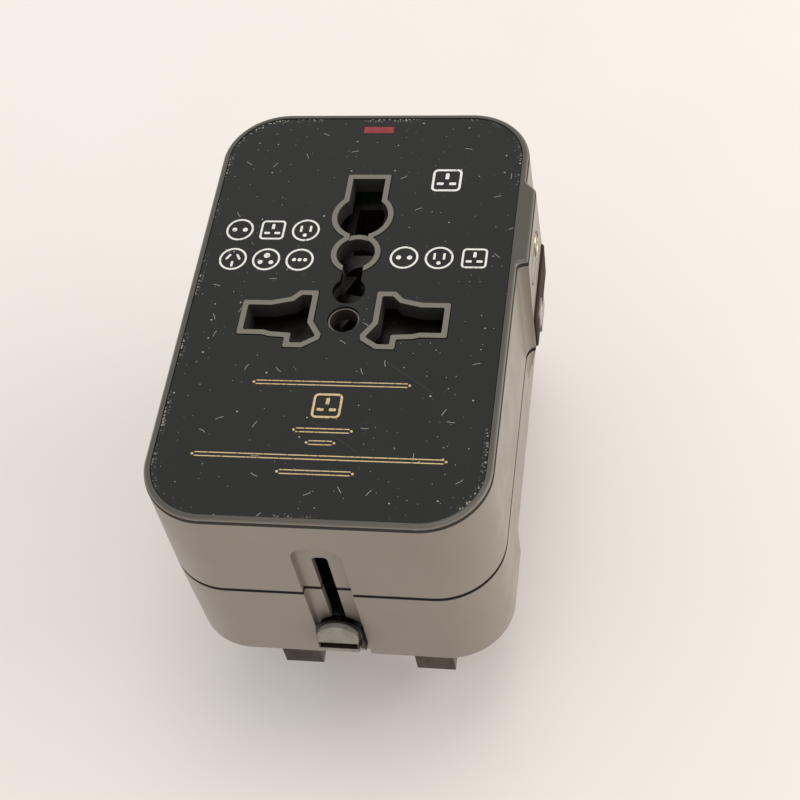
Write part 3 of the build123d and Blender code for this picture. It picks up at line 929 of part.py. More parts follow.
# Shutter: one plate that covers both line holes and slides up as a plug goes in
with BuildPart() as shutter:
    with BuildSketch(Plane.XY.offset(SHUTTER_Z)):
        with Locations((0, (SHUTTER_LOW_Y + SHUTTER_TOP_Y) / 2)):
            Rectangle(SHUTTER_W, SHUTTER_TOP_Y - SHUTTER_LOW_Y)
            Rectangle(SHUTTER_CUT_W, SHUTTER_TOP_Y - SHUTTER_LOW_Y, mode=Mode.SUBTRACT)
        with Locations((0, SHUTTER_LOW_Y + SHUTTER_STRIP_H / 2)):
            Rectangle(SHUTTER_STRIP_W, SHUTTER_STRIP_H)
    extrude(amount=SHUTTER_T)
    with BuildSketch(Plane.XY.offset(SHUTTER_Z)) as lobe:
        with BuildLine():
            Polyline(
                (-LOBE_FOOT_X, -LOBE_FOOT), (-LOBE_OUT_X, -LOBE_FOOT), (-LOBE_OUT_X, SHUTTER_LOBE_RISE),
                (-LOBE_IN_X, SHUTTER_LOBE_RISE),
            )
            Spline(
                (-LOBE_IN_X, SHUTTER_LOBE_RISE), (-LOBE_BULGE_X, LOBE_UPPER_RISE),
                (-LOBE_BAY_X, LOBE_BAY_RISE), (-LOBE_IN_X, LOBE_MID_RISE), (-LOBE_BULGE_X, LOBE_LOWER_RISE),
                (-LOBE_FOOT_X, -LOBE_FOOT),
            )
        make_face()
    extrude(lobe.sketch.moved(Location((0, SOCKET_LINE_Y, 0))), amount=SHUTTER_T)
save(shutter, "shutter")

with BuildPart() as shutter_springs:
    for x in (-SPRING_X, SPRING_X):
        length = SPRING_END_Y - SHUTTER_TOP_Y - 2 * SPRING_WIRE_R - 0.1
        with BuildLine() as coil:
            Helix(
                pitch=length / SPRING_TURNS, height=length, radius=SPRING_R,
                center=(x, SHUTTER_TOP_Y + SPRING_WIRE_R + 0.05, SPRING_Z), direction=(0, 1, 0),
            )
        with BuildSketch(Plane(origin=coil.line @ 0, z_dir=coil.line % 0)) as wire:
            Circle(SPRING_WIRE_R)
        sweep(wire.sketch, path=coil.line)
save(shutter_springs, "shutter_springs")


# Circuit board with the lamp, the surge absorber, a resistor and a diode
with BuildPart() as circuit_board:
    slab(-BOARD_W / 2, BOARD_W / 2, BOARD_LOW_Y, BOARD_TOP_Y, BOARD_Z, BOARD_Z + BOARD_T)
    fillet(circuit_board.edges().filter_by(Axis.Z), 1)
    with screw_places():
        Cylinder(BOSS_R + BOARD_BOSS_GAP, 2 * DEPTH, mode=Mode.SUBTRACT)
save(circuit_board, "circuit_board")

BOARD_TOP_Z = BOARD_Z + BOARD_T
with BuildPart() as lamp:
    slab(-1.7, 1.7, LENS_Y - 1.2, LENS_Y + 0.9, BOARD_TOP_Z, BOARD_TOP_Z + 1.6)
    slab(-1.3, 1.3, LENS_Y - 0.8, LENS_Y + 0.5, BOARD_TOP_Z + 1.6, FACE_IN - LENS_FLANGE_T - 0.3)
save(lamp, "lamp")

with BuildPart() as surge_absorber:
    absorber_y = BOARD_MID_Y - ABSORBER_DROP
    with Locations((ABSORBER_X, absorber_y, BOARD_TOP_Z + 0.3)):
        Cylinder(ABSORBER_R, ABSORBER_T, align=(Align.CENTER, Align.CENTER, Align.MIN))
    fillet(surge_absorber.edges(), 0.8)
    for x in (ABSORBER_X - LEAD_X, ABSORBER_X + LEAD_X):
        with Locations((x, absorber_y, BOARD_TOP_Z)):
            Cylinder(0.35, 1, align=(Align.CENTER, Align.CENTER, Align.MIN))
save(surge_absorber, "surge_absorber")


def axial_part(x, y, radius, length, name):
    """A small round component lying on the board, with a bent lead at each end."""
    with BuildPart() as component:
        with BuildSketch(Plane.YZ) as section:
            with Locations((y, BOARD_TOP_Z + radius + 0.2)):
                Circle(radius)
        extrude(section.sketch.moved(Location((x, 0, 0))), amount=length / 2, both=True)
        for side in (-1, 1):
            slab(x + side * length / 2, x + side * (length / 2 + 1.2), y - 0.25, y + 0.25,
                 BOARD_TOP_Z + radius, BOARD_TOP_Z + radius + 0.5)
            slab(x + side * (length / 2 + 0.7), x + side * (length / 2 + 1.2), y - 0.25, y + 0.25,
                 BOARD_TOP_Z, BOARD_TOP_Z + radius + 0.5)
    save(component, name)


axial_part(RESISTOR_X, BOARD_MID_Y, RESISTOR_R, RESISTOR_L, "resistor")
axial_part(DIODE_X, BOARD_MID_Y - DIODE_DROP, DIODE_R, DIODE_L, "diode")


# Four case screws, driven from the back
with BuildPart() as case_screws:
    with screw_places():
        with Locations((0, 0, SCREW_SEAT_Z)):
            Cylinder(SCREW_R, SCREW_TIP_Z - SCREW_SEAT_Z, align=(Align.CENTER, Align.CENTER, Align.MIN))
            Cylinder(SCREW_HEAD_R, SCREW_HEAD_T, align=(Align.CENTER, Align.CENTER, Align.MAX))
            with Locations((0, 0, -SCREW_HEAD_T)):
                Box(3.4, 0.6, 1.6, mode=Mode.SUBTRACT)
                Box(0.6, 3.4, 1.6, mode=Mode.SUBTRACT)
save(case_screws, "case_screws")
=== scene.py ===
"""Travel adapter with a socket face and three slide-out plugs, dressed for its photograph.

Everything is in metres in the part's own frame: the origin is the centre of the back face, +Z
comes out of the socket face and +Y is the end with the lamp.
"""

import math

import bpy
from mathutils import Matrix, Vector


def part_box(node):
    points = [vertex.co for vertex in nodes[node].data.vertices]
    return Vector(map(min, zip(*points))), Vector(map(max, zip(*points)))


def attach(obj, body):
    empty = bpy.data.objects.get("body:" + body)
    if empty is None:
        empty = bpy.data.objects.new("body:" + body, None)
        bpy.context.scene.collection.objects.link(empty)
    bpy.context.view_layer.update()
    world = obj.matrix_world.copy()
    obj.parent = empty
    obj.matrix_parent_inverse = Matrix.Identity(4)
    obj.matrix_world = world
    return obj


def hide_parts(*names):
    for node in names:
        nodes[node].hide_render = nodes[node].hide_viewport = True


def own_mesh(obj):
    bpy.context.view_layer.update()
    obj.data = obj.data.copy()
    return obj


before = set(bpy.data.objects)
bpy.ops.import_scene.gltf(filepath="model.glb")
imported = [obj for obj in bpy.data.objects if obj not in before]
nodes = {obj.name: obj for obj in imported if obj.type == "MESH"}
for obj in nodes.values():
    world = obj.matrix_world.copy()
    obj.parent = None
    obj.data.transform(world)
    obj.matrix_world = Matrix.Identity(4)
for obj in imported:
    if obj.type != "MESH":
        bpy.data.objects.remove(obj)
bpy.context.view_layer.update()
MM = 0.001
bpy.ops.object.select_all(action="DESELECT")


# Case: two ABS shells, moulded in a warm grey and screwed together from the back. The tool was
# spark eroded, so they have a soft sheen and a fine grain, which is drawn coarser so that it shows.
# Handling has polished the walls in patches. Painted shade darkens the up-facing rims and bezel and
# fills the parting gap and the hole walls near black; a painted dark reflection lines the bead's foot.
def linear(hex_value):
    """An sRGB hex colour as the linear values that Blender wants."""
    channels = [int(hex_value[i : i + 2], 16) / 255 for i in (0, 2, 4)]
    return tuple(c / 12.92 if c < 0.04045 else ((c + 0.055) / 1.055) ** 2.4 for c in channels) + (1.0,)


def fill(tree, node, inputs):
    """Set a node's inputs, or link them to a socket or to a node's first live output."""
    for name, value in inputs.items():
        if isinstance(value, bpy.types.Node):
            value = next(output for output in value.outputs if output.enabled)
        if isinstance(value, bpy.types.NodeSocket):
            tree.links.new(value, node.inputs[name])
        else:
            node.inputs[name].default_value = value


def add(tree, kind, inputs, **settings):
    """Add a node with its settings, and set or link its inputs."""
    made = tree.nodes.new("ShaderNode" + kind)
    for name, value in settings.items():
        setattr(made, name, value)
    fill(tree, made, inputs)
    return made


def new_finish(name, metallic=0.0, ior=None):
    """A material with its node tree, its shader, and the axes of the piece that wears it."""
    made = bpy.data.materials.new(name)
    made.use_nodes = True
    skin = made.node_tree.nodes["Principled BSDF"]
    skin.inputs["Metallic"].default_value = metallic
    if ior:
        skin.inputs["IOR"].default_value = ior
    axes = add(made.node_tree, "TexCoord", {})
    return made, made.node_tree, skin, axes.outputs["Object"]


def flecks(tree, place, cell, radius, share, dimensions="3D"):
    """Round flecks in a share of the cells, sized in millimetres: 1 on a fleck and 0 elsewhere."""
    inputs = {"Vector": place, "Scale": 1 / (cell * MM)}
    cells = add(tree, "TexVoronoi", inputs, voronoi_dimensions=dimensions)
    chance = add(tree, "SeparateColor", {"Color": cells.outputs["Color"]})
    size = add(tree, "MapRange", {0: chance.outputs["Green"], 3: 0.35 * radius / cell, 4: radius / cell})
    inside = add(tree, "Math", {0: cells.outputs["Distance"], 1: size}, operation="LESS_THAN")
    chosen = add(tree, "Math", {0: chance.outputs["Red"], 1: share}, operation="LESS_THAN")
    return add(tree, "Math", {0: inside, 1: chosen}, operation="MULTIPLY")


def wear(material, *node_names):
    """Give CAD nodes their finish."""
    for node_name in node_names:
        nodes[node_name].data.materials.clear()
        nodes[node_name].data.materials.append(material)


GRAIN, TONE_PATCH, POLISH_PATCH = 0.3, 16.0, 5.0
SHELL_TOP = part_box("front_shell")[1][2]
RIM_DEEP, BEAD_DEEP, HOLE_DEEP = 1.2 * MM, 0.95 * MM, 8 * MM
RIM_Z, BEAD_FOOT_Z, HOLE_Z = SHELL_TOP - RIM_DEEP, SHELL_TOP - BEAD_DEEP, SHELL_TOP - HOLE_DEEP
HOLES_HALF_X, HOLES_MID_Y, HOLES_HALF_Y = 18 * MM, 8 * MM, 21 * MM
PARTING_Z, PARTING_HALF = 18.8 * MM, 0.42 * MM

abs_shell, tree, skin, place = new_finish("moulded_abs_warm_grey", ior=1.53)
tone = add(tree, "TexNoise", {"Vector": place, "Scale": 1 / (TONE_PATCH * MM), "Detail": 3})
grey = add(tree, "Mix", {0: tone, 6: linear("8c8276"), 7: linear("82786c")}, data_type="RGBA")
pits = flecks(tree, place, cell=1.6, radius=0.07, share=0.2)
pores = add(tree, "Math", {0: pits, 1: 0.45}, operation="MULTIPLY")
dusty = add(tree, "Mix", {0: pores, 6: grey, 7: linear("c9bfb0")}, data_type="RGBA")
facing = add(tree, "SeparateXYZ", {0: add(tree, "TexCoord", {}).outputs["Normal"]}).outputs["Z"]
coords = add(tree, "SeparateXYZ", {0: place})
height = coords.outputs["Z"]
across = add(tree, "Math", {0: coords.outputs["X"], 1: 0, 2: HOLES_HALF_X}, operation="COMPARE")
along = add(tree, "Math", {0: coords.outputs["Y"], 1: HOLES_MID_Y, 2: HOLES_HALF_Y}, operation="COMPARE")
by_holes = add(tree, "Math", {0: across, 1: along}, operation="MULTIPLY")
# Up-facing rims and bezel near the top are painted darker as shade, the hole rims less than the bezel.
flat_up = add(tree, "MapRange", {0: facing, 1: 0.55, 2: 0.95})
at_rim = add(tree, "Math", {0: height, 1: RIM_Z}, operation="GREATER_THAN")
tops_painted_dark = add(tree, "Math", {0: flat_up, 1: at_rim}, operation="MULTIPLY")
top_shade_tone = add(tree, "Mix", {0: by_holes, 6: linear("4d4940"), 7: linear("736e64")}, data_type="RGBA")
tops_shaded = add(tree, "Mix", {0: tops_painted_dark, 6: dusty, 7: top_shade_tone}, data_type="RGBA")
# A dark line at the foot of the bezel bead, where it faces part-way up: a painted dark reflection.
low_bead = add(tree, "Math", {0: facing, 1: 0.25, 2: 0.3}, operation="COMPARE")
near_bead = add(tree, "Math", {0: height, 1: BEAD_FOOT_Z}, operation="GREATER_THAN")
bead_painted_reflection = add(tree, "Math", {0: low_bead, 1: near_bead}, operation="MULTIPLY")
# The band of the parting gap is painted near black: painted shade in the gap between the shells.
in_parting = add(tree, "Math", {0: height, 1: PARTING_Z, 2: PARTING_HALF}, operation="COMPARE")
# Steep walls inside the socket holes are painted near black: painted shade in the recesses.
steep = add(tree, "Math", {0: facing, 1: 0.5}, operation="LESS_THAN")
in_top = add(tree, "Math", {0: height, 1: HOLE_Z}, operation="GREATER_THAN")
hole_wall = add(tree, "Math", {0: steep, 1: in_top}, operation="MULTIPLY")
hole_painted_shade = add(tree, "Math", {0: hole_wall, 1: by_holes}, operation="MULTIPLY")
# The painted shade and reflection marks are joined and mixed in near black; they also dull the sheen.
edge_painted_dark = add(tree, "Math", {0: bead_painted_reflection, 1: in_parting}, operation="MAXIMUM")
painted_dark = add(tree, "Math", {0: edge_painted_dark, 1: hole_painted_shade}, operation="MAXIMUM")
painted_dark_weight = add(tree, "Math", {0: painted_dark, 1: 0.97}, operation="MULTIPLY")
colour = add(tree, "Mix", {0: painted_dark_weight, 6: tops_shaded, 7: linear("1f1913")}, data_type="RGBA")
polish = add(tree, "TexNoise", {"Vector": place, "Scale": 1 / (POLISH_PATCH * MM), "Detail": 5})
clean_sheen = add(tree, "MapRange", {0: polish, 1: 0.3, 2: 0.7, 3: 0.28, 4: 0.38})
dull = add(tree, "Math", {0: painted_dark_weight, 1: 0.85}, operation="MULTIPLY")
sheen = add(tree, "Math", {0: clean_sheen, 1: dull}, operation="MAXIMUM")
grain = add(tree, "TexNoise", {"Vector": place, "Scale": 1 / (GRAIN * MM), "Detail": 2})
relief = add(tree, "Bump", {"Height": grain, "Distance": 0.03 * MM, "Strength": 0.12})
fill(tree, skin, {"Base Color": colour, "Roughness": sheen, "Normal": relief})
wear(abs_shell, "front_shell", "back_shell", "fuse_drawer")


# Contacts: half-hard brass strip, pressed, bent and held in the socket housing.
# Rolling left a fine grain along the strip, drawn coarser so that it shows, and the brass has
# browned unevenly.
STRIP_GRAIN = 0.25
brass_strip, tree, skin, place = new_finish("pressed_brass_strip", metallic=1.0)
drawn_out = add(tree, "Mapping", {"Vector": place, "Scale": (1, 0.1, 1)})
rolled = add(tree, "TexNoise", {"Vector": drawn_out, "Scale": 1 / (STRIP_GRAIN * MM), "Detail": 3})
brown = add(tree, "TexNoise", {"Vector": place, "Scale": 1 / (4 * MM), "Detail": 4})
colour = add(tree, "Mix", {0: brown, 6: linear("bb9853"), 7: linear("8f6b33")}, data_type="RGBA")
shine = add(tree, "MapRange", {0: rolled, 1: 0.3, 2: 0.7, 3: 0.22, 4: 0.42})
relief = add(tree, "Bump", {"Height": rolled, "Distance": 0.01 * MM, "Strength": 0.3})
fill(tree, skin, {"Base Color": colour, "Roughness": shine, "Normal": relief})
wear(brass_strip, "live_bus", "live_contact", "neutral_contact", "earth_contact")


# Circuit board: glass laminate under green lacquer, notched to fit round the screw bosses.
# The weave shows through the lacquer as faint ribs, drawn coarser than the real threads.
WEAVE = 0.9
laminate, tree, skin, place = new_finish("green_glass_laminate", ior=1.52)
weave = add(tree, "TexWave", {"Vector": place, "Scale": 0.16 / (WEAVE * MM), "Distortion": 0.4})
colour = add(tree, "Mix", {0: weave, 6: linear("1b4426"), 7: linear("23522f")}, data_type="RGBA")
shine = add(tree, "MapRange", {0: weave, 3: 0.3, 4: 0.4})
relief = add(tree, "Bump", {"Height": weave, "Distance": 0.01 * MM, "Strength": 0.3})
fill(tree, skin, {"Base Color": colour, "Roughness": shine, "Normal": relief})
wear(laminate, "circuit_board")

# Surge absorber: a disc of zinc oxide dipped in blue epoxy, standing on the board.
# The dip ran a little before it set, so its skin is glossy and slightly wavy.
epoxy_dip, tree, skin, place = new_finish("blue_epoxy_dip", ior=1.55)
runs = add(tree, "TexNoise", {"Vector": place, "Scale": 1 / (1.6 * MM), "Detail": 2})
colour = add(tree, "Mix", {0: runs, 6: linear("1d3b80"), 7: linear("27509c")}, data_type="RGBA")
shine = add(tree, "MapRange", {0: runs, 3: 0.16, 4: 0.3})
relief = add(tree, "Bump", {"Height": runs, "Distance": 0.08 * MM, "Strength": 0.4})
fill(tree, skin, {"Base Color": colour, "Roughness": shine, "Normal": relief})
wear(epoxy_dip, "surge_absorber")

# Resistor: a ceramic rod under beige lacquer, lying on the board.
# The lacquer dried in uneven tone, with fine pits that are drawn coarser than they are.
beige_lacquer, tree, skin, place = new_finish("beige_resistor_lacquer")
pits = add(tree, "TexNoise", {"Vector": place, "Scale": 1 / (0.3 * MM), "Detail": 3})
colour = add(tree, "Mix", {0: pits, 6: linear("bd9864"), 7: linear("a27b49")}, data_type="RGBA")
shine = add(tree, "MapRange", {0: pits, 3: 0.32, 4: 0.5})
relief = add(tree, "Bump", {"Height": pits, "Distance": 0.02 * MM, "Strength": 0.3})
fill(tree, skin, {"Base Color": colour, "Roughness": shine, "Normal": relief})
wear(beige_lacquer, "resistor")

# Diode: a black epoxy body, pressed in a matt mould and set on the board.
# The mould left a faint grain that breaks up its low gloss.
black_epoxy, tree, skin, place = new_finish("matt_black_moulded_epoxy")
matt = add(tree, "TexNoise", {"Vector": place, "Scale": 1 / (0.2 * MM), "Detail": 2})
colour = add(tree, "Mix", {0: matt, 6: linear("171716"), 7: linear("282725")}, data_type="RGBA")
shine = add(tree, "MapRange", {0: matt, 3: 0.45, 4: 0.62})
relief = add(tree, "Bump", {"Height": matt, "Distance": 0.02 * MM, "Strength": 0.3})
fill(tree, skin, {"Base Color": colour, "Roughness": shine, "Normal": relief})
wear(black_epoxy, "diode")


# Socket housing and shutter: dark nylon, moulded with a faint flow pattern and a dull gloss.
# Dust has fallen on them through the holes.
dark_nylon, tree, skin, place = new_finish("dark_brown_nylon", ior=1.53)
flow = add(tree, "TexNoise", {"Vector": place, "Scale": 1 / (2.5 * MM), "Detail": 3})
nylon = add(tree, "Mix", {0: flow, 6: linear("17120d"), 7: linear("241b14")}, data_type="RGBA")
specks = flecks(tree, place, cell=0.9, radius=0.07, share=0.22)
fallen = add(tree, "Math", {0: specks, 1: 0.6}, operation="MULTIPLY")
colour = add(tree, "Mix", {0: fallen, 6: nylon, 7: linear("8f8877")}, data_type="RGBA")
shine = add(tree, "MapRange", {0: flow, 1: 0.3, 2: 0.7, 3: 0.22, 4: 0.4})
grain = add(tree, "TexNoise", {"Vector": place, "Scale": 1 / (0.4 * MM), "Detail": 2})
relief = add(tree, "Bump", {"Height": grain, "Distance": 0.02 * MM, "Strength": 0.2})
fill(tree, skin, {"Base Color": colour, "Roughness": shine, "Normal": relief})
wear(dark_nylon, "contact_housing", "shutter")


# Screws: steel with bright zinc plating, driven from the back into the front shell's posts.
# The plating is cloudy where its passivation is thicker.
zinc, tree, skin, place = new_finish("zinc_plated_steel", metallic=1.0)
cloud = add(tree, "TexNoise", {"Vector": place, "Scale": 1 / (0.7 * MM), "Detail": 4})
colour = add(tree, "Mix", {0: cloud, 6: linear("9c9e9d"), 7: linear("b9b8ae")}, data_type="RGBA")
shine = add(tree, "MapRange", {0: cloud, 1: 0.3, 2: 0.7, 3: 0.22, 4: 0.42})
relief = add(tree, "Bump", {"Height": cloud, "Distance": 0.01 * MM, "Strength": 0.25})
fill(tree, skin, {"Base Color": colour, "Roughness": shine, "Normal": relief})
wear(zinc, "case_screws", "shutter_springs")

# Springs: two coils of zinc-plated wire between the shutter and the housing. They are drawn as a
# piece of their own, with their loose points welded and smooth shading.
SPRING_LEFT, WELD = 0.35, 0.002 * MM
bpy.ops.object.select_all(action="DESELECT")
nodes["shutter_springs"].select_set(True)
bpy.context.view_layer.objects.active = nodes["shutter_springs"]
bpy.ops.object.duplicate()
springs = bpy.context.object
springs.name = "drawn_springs"
bpy.ops.object.mode_set(mode="EDIT")
bpy.ops.mesh.select_all(action="SELECT")
bpy.ops.mesh.remove_doubles(threshold=WELD)
bpy.ops.object.mode_set(mode="OBJECT")
bpy.ops.object.shade_smooth_by_angle(angle=math.radians(40))
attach(springs, "case")
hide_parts("shutter_springs")
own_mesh(springs)


# Sliders: glossy black acetal carriages and pin sleeves that run in the back shell.
# Sliding has drawn faint lines along their travel, and dirt lies behind the slot in the pad.
DRAW_LINE = 0.6
SLOT_Z, SLOT_HALF, SLOT_Y = 7.0 * MM, 0.6 * MM, -38.5 * MM


def slot_shade_and_dirt(tree, place):
    """1 in the slot of the thumb knob's pad, and 0 elsewhere."""
    coords = add(tree, "SeparateXYZ", {0: place})
    level = add(tree, "Math", {0: coords.outputs["Z"], 1: SLOT_Z, 2: SLOT_HALF}, operation="COMPARE")
    front = add(tree, "Math", {0: coords.outputs["Y"], 1: SLOT_Y}, operation="LESS_THAN")
    return add(tree, "Math", {0: level, 1: front}, operation="MULTIPLY")


black_acetal, tree, skin, place = new_finish("glossy_black_acetal", ior=1.48)
travel = add(tree, "Mapping", {"Vector": place, "Scale": (1, 1, 0.12)})
lines = add(tree, "TexNoise", {"Vector": travel, "Scale": 1 / (DRAW_LINE * MM), "Detail": 3})
cloud = add(tree, "TexNoise", {"Vector": place, "Scale": 1 / (4 * MM)})
colour = add(tree, "Mix", {0: cloud, 6: linear("12100c"), 7: linear("1d1914")}, data_type="RGBA")
polished = add(tree, "MapRange", {0: lines, 1: 0.3, 2: 0.7, 3: 0.14, 4: 0.3})
shine = add(tree, "Math", {0: polished, 1: slot_shade_and_dirt(tree, place)}, operation="MAXIMUM")
relief = add(tree, "Bump", {"Height": lines, "Distance": 0.02 * MM, "Strength": 0.25})
fill(tree, skin, {"Base Color": colour, "Roughness": shine, "Normal": relief})
wear(black_acetal, "uk_carriage", "uk_knob", "uk_pin_sleeves", "eu_carriage", "eu_pin_sleeves",
     "us_carriage")


# Pins, blades and fuse caps: brass, turned, sawn or pressed, then nickel plated.
# Sockets have drawn long scratches along them, and the plating has dulled towards brown.
PIN_SCRATCH = 0.35
nickel, tree, skin, place = new_finish("worn_nickel_plate", metallic=1.0)
along = add(tree, "Mapping", {"Vector": place, "Scale": (1, 1, 0.06)})
scratches = add(tree, "TexNoise", {"Vector": along, "Scale": 1 / (PIN_SCRATCH * MM), "Detail": 4})
dulled = add(tree, "TexNoise", {"Vector": place, "Scale": 1 / (3.5 * MM), "Detail": 4})
tarnish = add(tree, "MapRange", {0: dulled, 1: 0.35, 2: 0.7})
colour = add(tree, "Mix", {0: tarnish, 6: linear("5c544a"), 7: linear("433a30")}, data_type="RGBA")
shine = add(tree, "MapRange", {0: scratches, 1: 0.3, 2: 0.7, 3: 0.2, 4: 0.38})
relief = add(tree, "Bump", {"Height": scratches, "Distance": 0.01 * MM, "Strength": 0.35})
fill(tree, skin, {"Base Color": colour, "Roughness": shine, "Normal": relief})
wear(nickel, "uk_live_pin", "uk_neutral_pin", "uk_earth_pin", "eu_live_pin", "eu_neutral_pin",
     "us_live_blade", "us_neutral_blade", "fuse_caps")

# Fuse tube: white ceramic, glazed and fired, held between the two plated caps.
# The glaze is glossy and a little uneven.
glaze, tree, skin, place = new_finish("white_glazed_ceramic")
fired = add(tree, "TexNoise", {"Vector": place, "Scale": 1 / (1.5 * MM), "Detail": 3})
colour = add(tree, "Mix", {0: fired, 6: linear("dcd6c8"), 7: linear("cdc5b2")}, data_type="RGBA")
shine = add(tree, "MapRange", {0: fired, 3: 0.1, 4: 0.22})
relief = add(tree, "Bump", {"Height": fired, "Distance": 0.02 * MM, "Strength": 0.3})
fill(tree, skin, {"Base Color": colour, "Roughness": shine, "Normal": relief})
wear(glaze, "fuse_tube")


# Side knobs: acetal in a brown black, moulded matt for grip and pressed on to the carriages' stems.
# The matt skin stays dark even where the light grazes it.
matt_acetal, tree, skin, place = new_finish("matt_brown_black_acetal", ior=1.48)
skin.inputs["Specular IOR Level"].default_value = 0.1
cloud = add(tree, "TexNoise", {"Vector": place, "Scale": 1 / (3 * MM)})
colour = add(tree, "Mix", {0: cloud, 6: linear("2e2319"), 7: linear("3d2f22")}, data_type="RGBA")
touched = add(tree, "TexNoise", {"Vector": place, "Scale": 1 / (1.2 * MM), "Detail": 4})
shine = add(tree, "MapRange", {0: touched, 1: 0.3, 2: 0.7, 3: 0.6, 4: 0.75})
relief = add(tree, "Bump", {"Height": touched, "Distance": 0.02 * MM, "Strength": 0.2})
fill(tree, skin, {"Base Color": colour, "Roughness": shine, "Normal": relief})
wear(matt_acetal, "eu_knob", "us_knob")

# Knob pads: light grey ABS, let into each knob's face and soiled by thumbs. The slot of the
# end pad is painted dark as shade.
pad_abs, tree, skin, place = new_finish("soiled_light_grey_abs", ior=1.53)
thumbed = add(tree, "TexNoise", {"Vector": place, "Scale": 1 / (1.6 * MM), "Detail": 5})
soil = add(tree, "MapRange", {0: thumbed, 1: 0.35, 2: 0.65})
clean = add(tree, "Mix", {0: soil, 6: linear("7d776d"), 7: linear("918b82")}, data_type="RGBA")
# The slot in the end pad is painted dark brown: painted shade in the groove.
slot_shade = slot_shade_and_dirt(tree, place)
colour = add(tree, "Mix", {0: slot_shade, 6: clean, 7: linear("2a1f16")}, data_type="RGBA")
shine = add(tree, "MapRange", {0: soil, 3: 0.2, 4: 0.34})
grain = add(tree, "TexNoise", {"Vector": place, "Scale": 1 / (0.25 * MM)})
relief = add(tree, "Bump", {"Height": grain, "Distance": 0.02 * MM, "Strength": 0.15})
fill(tree, skin, {"Base Color": colour, "Roughness": shine, "Normal": relief})
wear(pad_abs, "uk_knob_pad", "eu_knob_pad", "us_knob_pad")


# Face panel: a sheet of glossy black acrylic, cast, cut and pressed into the front shell.
# It mirrors the room faintly. Lint, dust, hairline scratches and wiped smears lie on it, and
# dust has packed in places along its joint with the shell.
panel_low, panel_high = (Vector(corner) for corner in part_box("face_panel"))
PANEL_TOP, PANEL_CORNER = panel_high.z, 8.8 * MM
EDGE_DUST = 0.8 * MM


def threads(tree, place, cell, length, width, share, curl):
    """Thin bent threads in a share of the cells, each turned its own way, sized in millimetres."""
    inputs = {"Vector": place, "Scale": 1 / (cell * MM)}
    cells = add(tree, "TexVoronoi", inputs, voronoi_dimensions="2D")
    chance = add(tree, "SeparateColor", {"Color": cells.outputs["Color"]})
    arm = add(tree, "VectorMath", {0: place, 1: cells.outputs["Position"]}, operation="SUBTRACT")
    angle = add(tree, "MapRange", {0: chance.outputs["Red"], 4: math.tau})
    turned = add(tree, "VectorRotate", {"Vector": arm, "Angle": angle}, rotation_type="Z_AXIS")
    local = add(tree, "SeparateXYZ", {"Vector": turned})
    bend = add(tree, "MapRange", {0: chance.outputs["Green"], 3: -curl / MM, 4: curl / MM})
    bow = add(tree, "Math", {0: local.outputs["X"], 1: local.outputs["X"]}, operation="MULTIPLY")
    line = add(tree, "Math", {0: bow, 1: bend, 2: local.outputs["Y"]}, operation="MULTIPLY_ADD")
    across = add(tree, "Math", {0: line}, operation="ABSOLUTE")
    along = add(tree, "Math", {0: local.outputs["X"]}, operation="ABSOLUTE")
    thin = add(tree, "MapRange", {0: across, 1: 0.5 * width * MM, 2: 0.2 * width * MM})
    short = add(tree, "MapRange", {0: along, 1: 0.5 * length * MM, 2: 0.4 * length * MM})
    chosen = add(tree, "Math", {0: chance.outputs["Blue"], 1: share}, operation="LESS_THAN")
    shape = add(tree, "Math", {0: thin, 1: short}, operation="MULTIPLY")
    return add(tree, "Math", {0: shape, 1: chosen}, operation="MULTIPLY")


gloss_sheet, tree, skin, place = new_finish("glossy_black_acrylic_sheet", ior=1.49)
half = (panel_high - panel_low) / 2
core = (half.x - PANEL_CORNER, half.y - PANEL_CORNER, 1.0)
folded = add(tree, "VectorMath", {0: place}, operation="ABSOLUTE")
beyond = add(tree, "VectorMath", {0: folded, 1: core}, operation="SUBTRACT")
outside = add(tree, "VectorMath", {0: beyond, 1: (0, 0, 0)}, operation="MAXIMUM")
reach = add(tree, "VectorMath", {0: outside}, operation="LENGTH").outputs["Value"]
margin = add(tree, "MapRange", {0: reach, 1: PANEL_CORNER - EDGE_DUST, 2: PANEL_CORNER})
stretches = add(tree, "TexNoise", {"Vector": place, "Scale": 1 / (8 * MM), "Detail": 2})
patchy = add(tree, "MapRange", {0: stretches, 1: 0.48, 2: 0.62})
packing = add(tree, "Math", {0: margin, 1: patchy}, operation="MULTIPLY")
crumbs = flecks(tree, place, cell=0.45, radius=0.2, share=0.6, dimensions="2D")
edge_dust = add(tree, "Math", {0: packing, 1: crumbs}, operation="MULTIPLY")
coarse = flecks(tree, place, cell=3.4, radius=0.15, share=0.35, dimensions="2D")
fine = flecks(tree, place, cell=1.5, radius=0.07, share=0.2, dimensions="2D")
dust = add(tree, "Math", {0: coarse, 1: fine}, operation="MAXIMUM")
lint = threads(tree, place, cell=6.0, length=1.3, width=0.11, share=0.42, curl=0.35)
hairlines = threads(tree, place, cell=19.0, length=10.0, width=0.08, share=0.4, curl=0.01)
litter = add(tree, "Math", {0: dust, 1: lint}, operation="MAXIMUM")
loose = add(tree, "Math", {0: litter, 1: edge_dust}, operation="MAXIMUM")
scratched = add(tree, "Math", {0: hairlines, 1: 0.12}, operation="MULTIPLY")
marked = add(tree, "Math", {0: loose, 1: scratched}, operation="MAXIMUM")
faded = add(tree, "Math", {0: marked, 1: 0.7}, operation="MULTIPLY")
depth = add(tree, "TexNoise", {"Vector": place, "Scale": 1 / (20 * MM)})
black = add(tree, "Mix", {0: depth, 6: linear("0a0c0a"), 7: linear("110f0a")}, data_type="RGBA")
colour = add(tree, "Mix", {0: faded, 6: black, 7: linear("bdb9ad")}, data_type="RGBA")
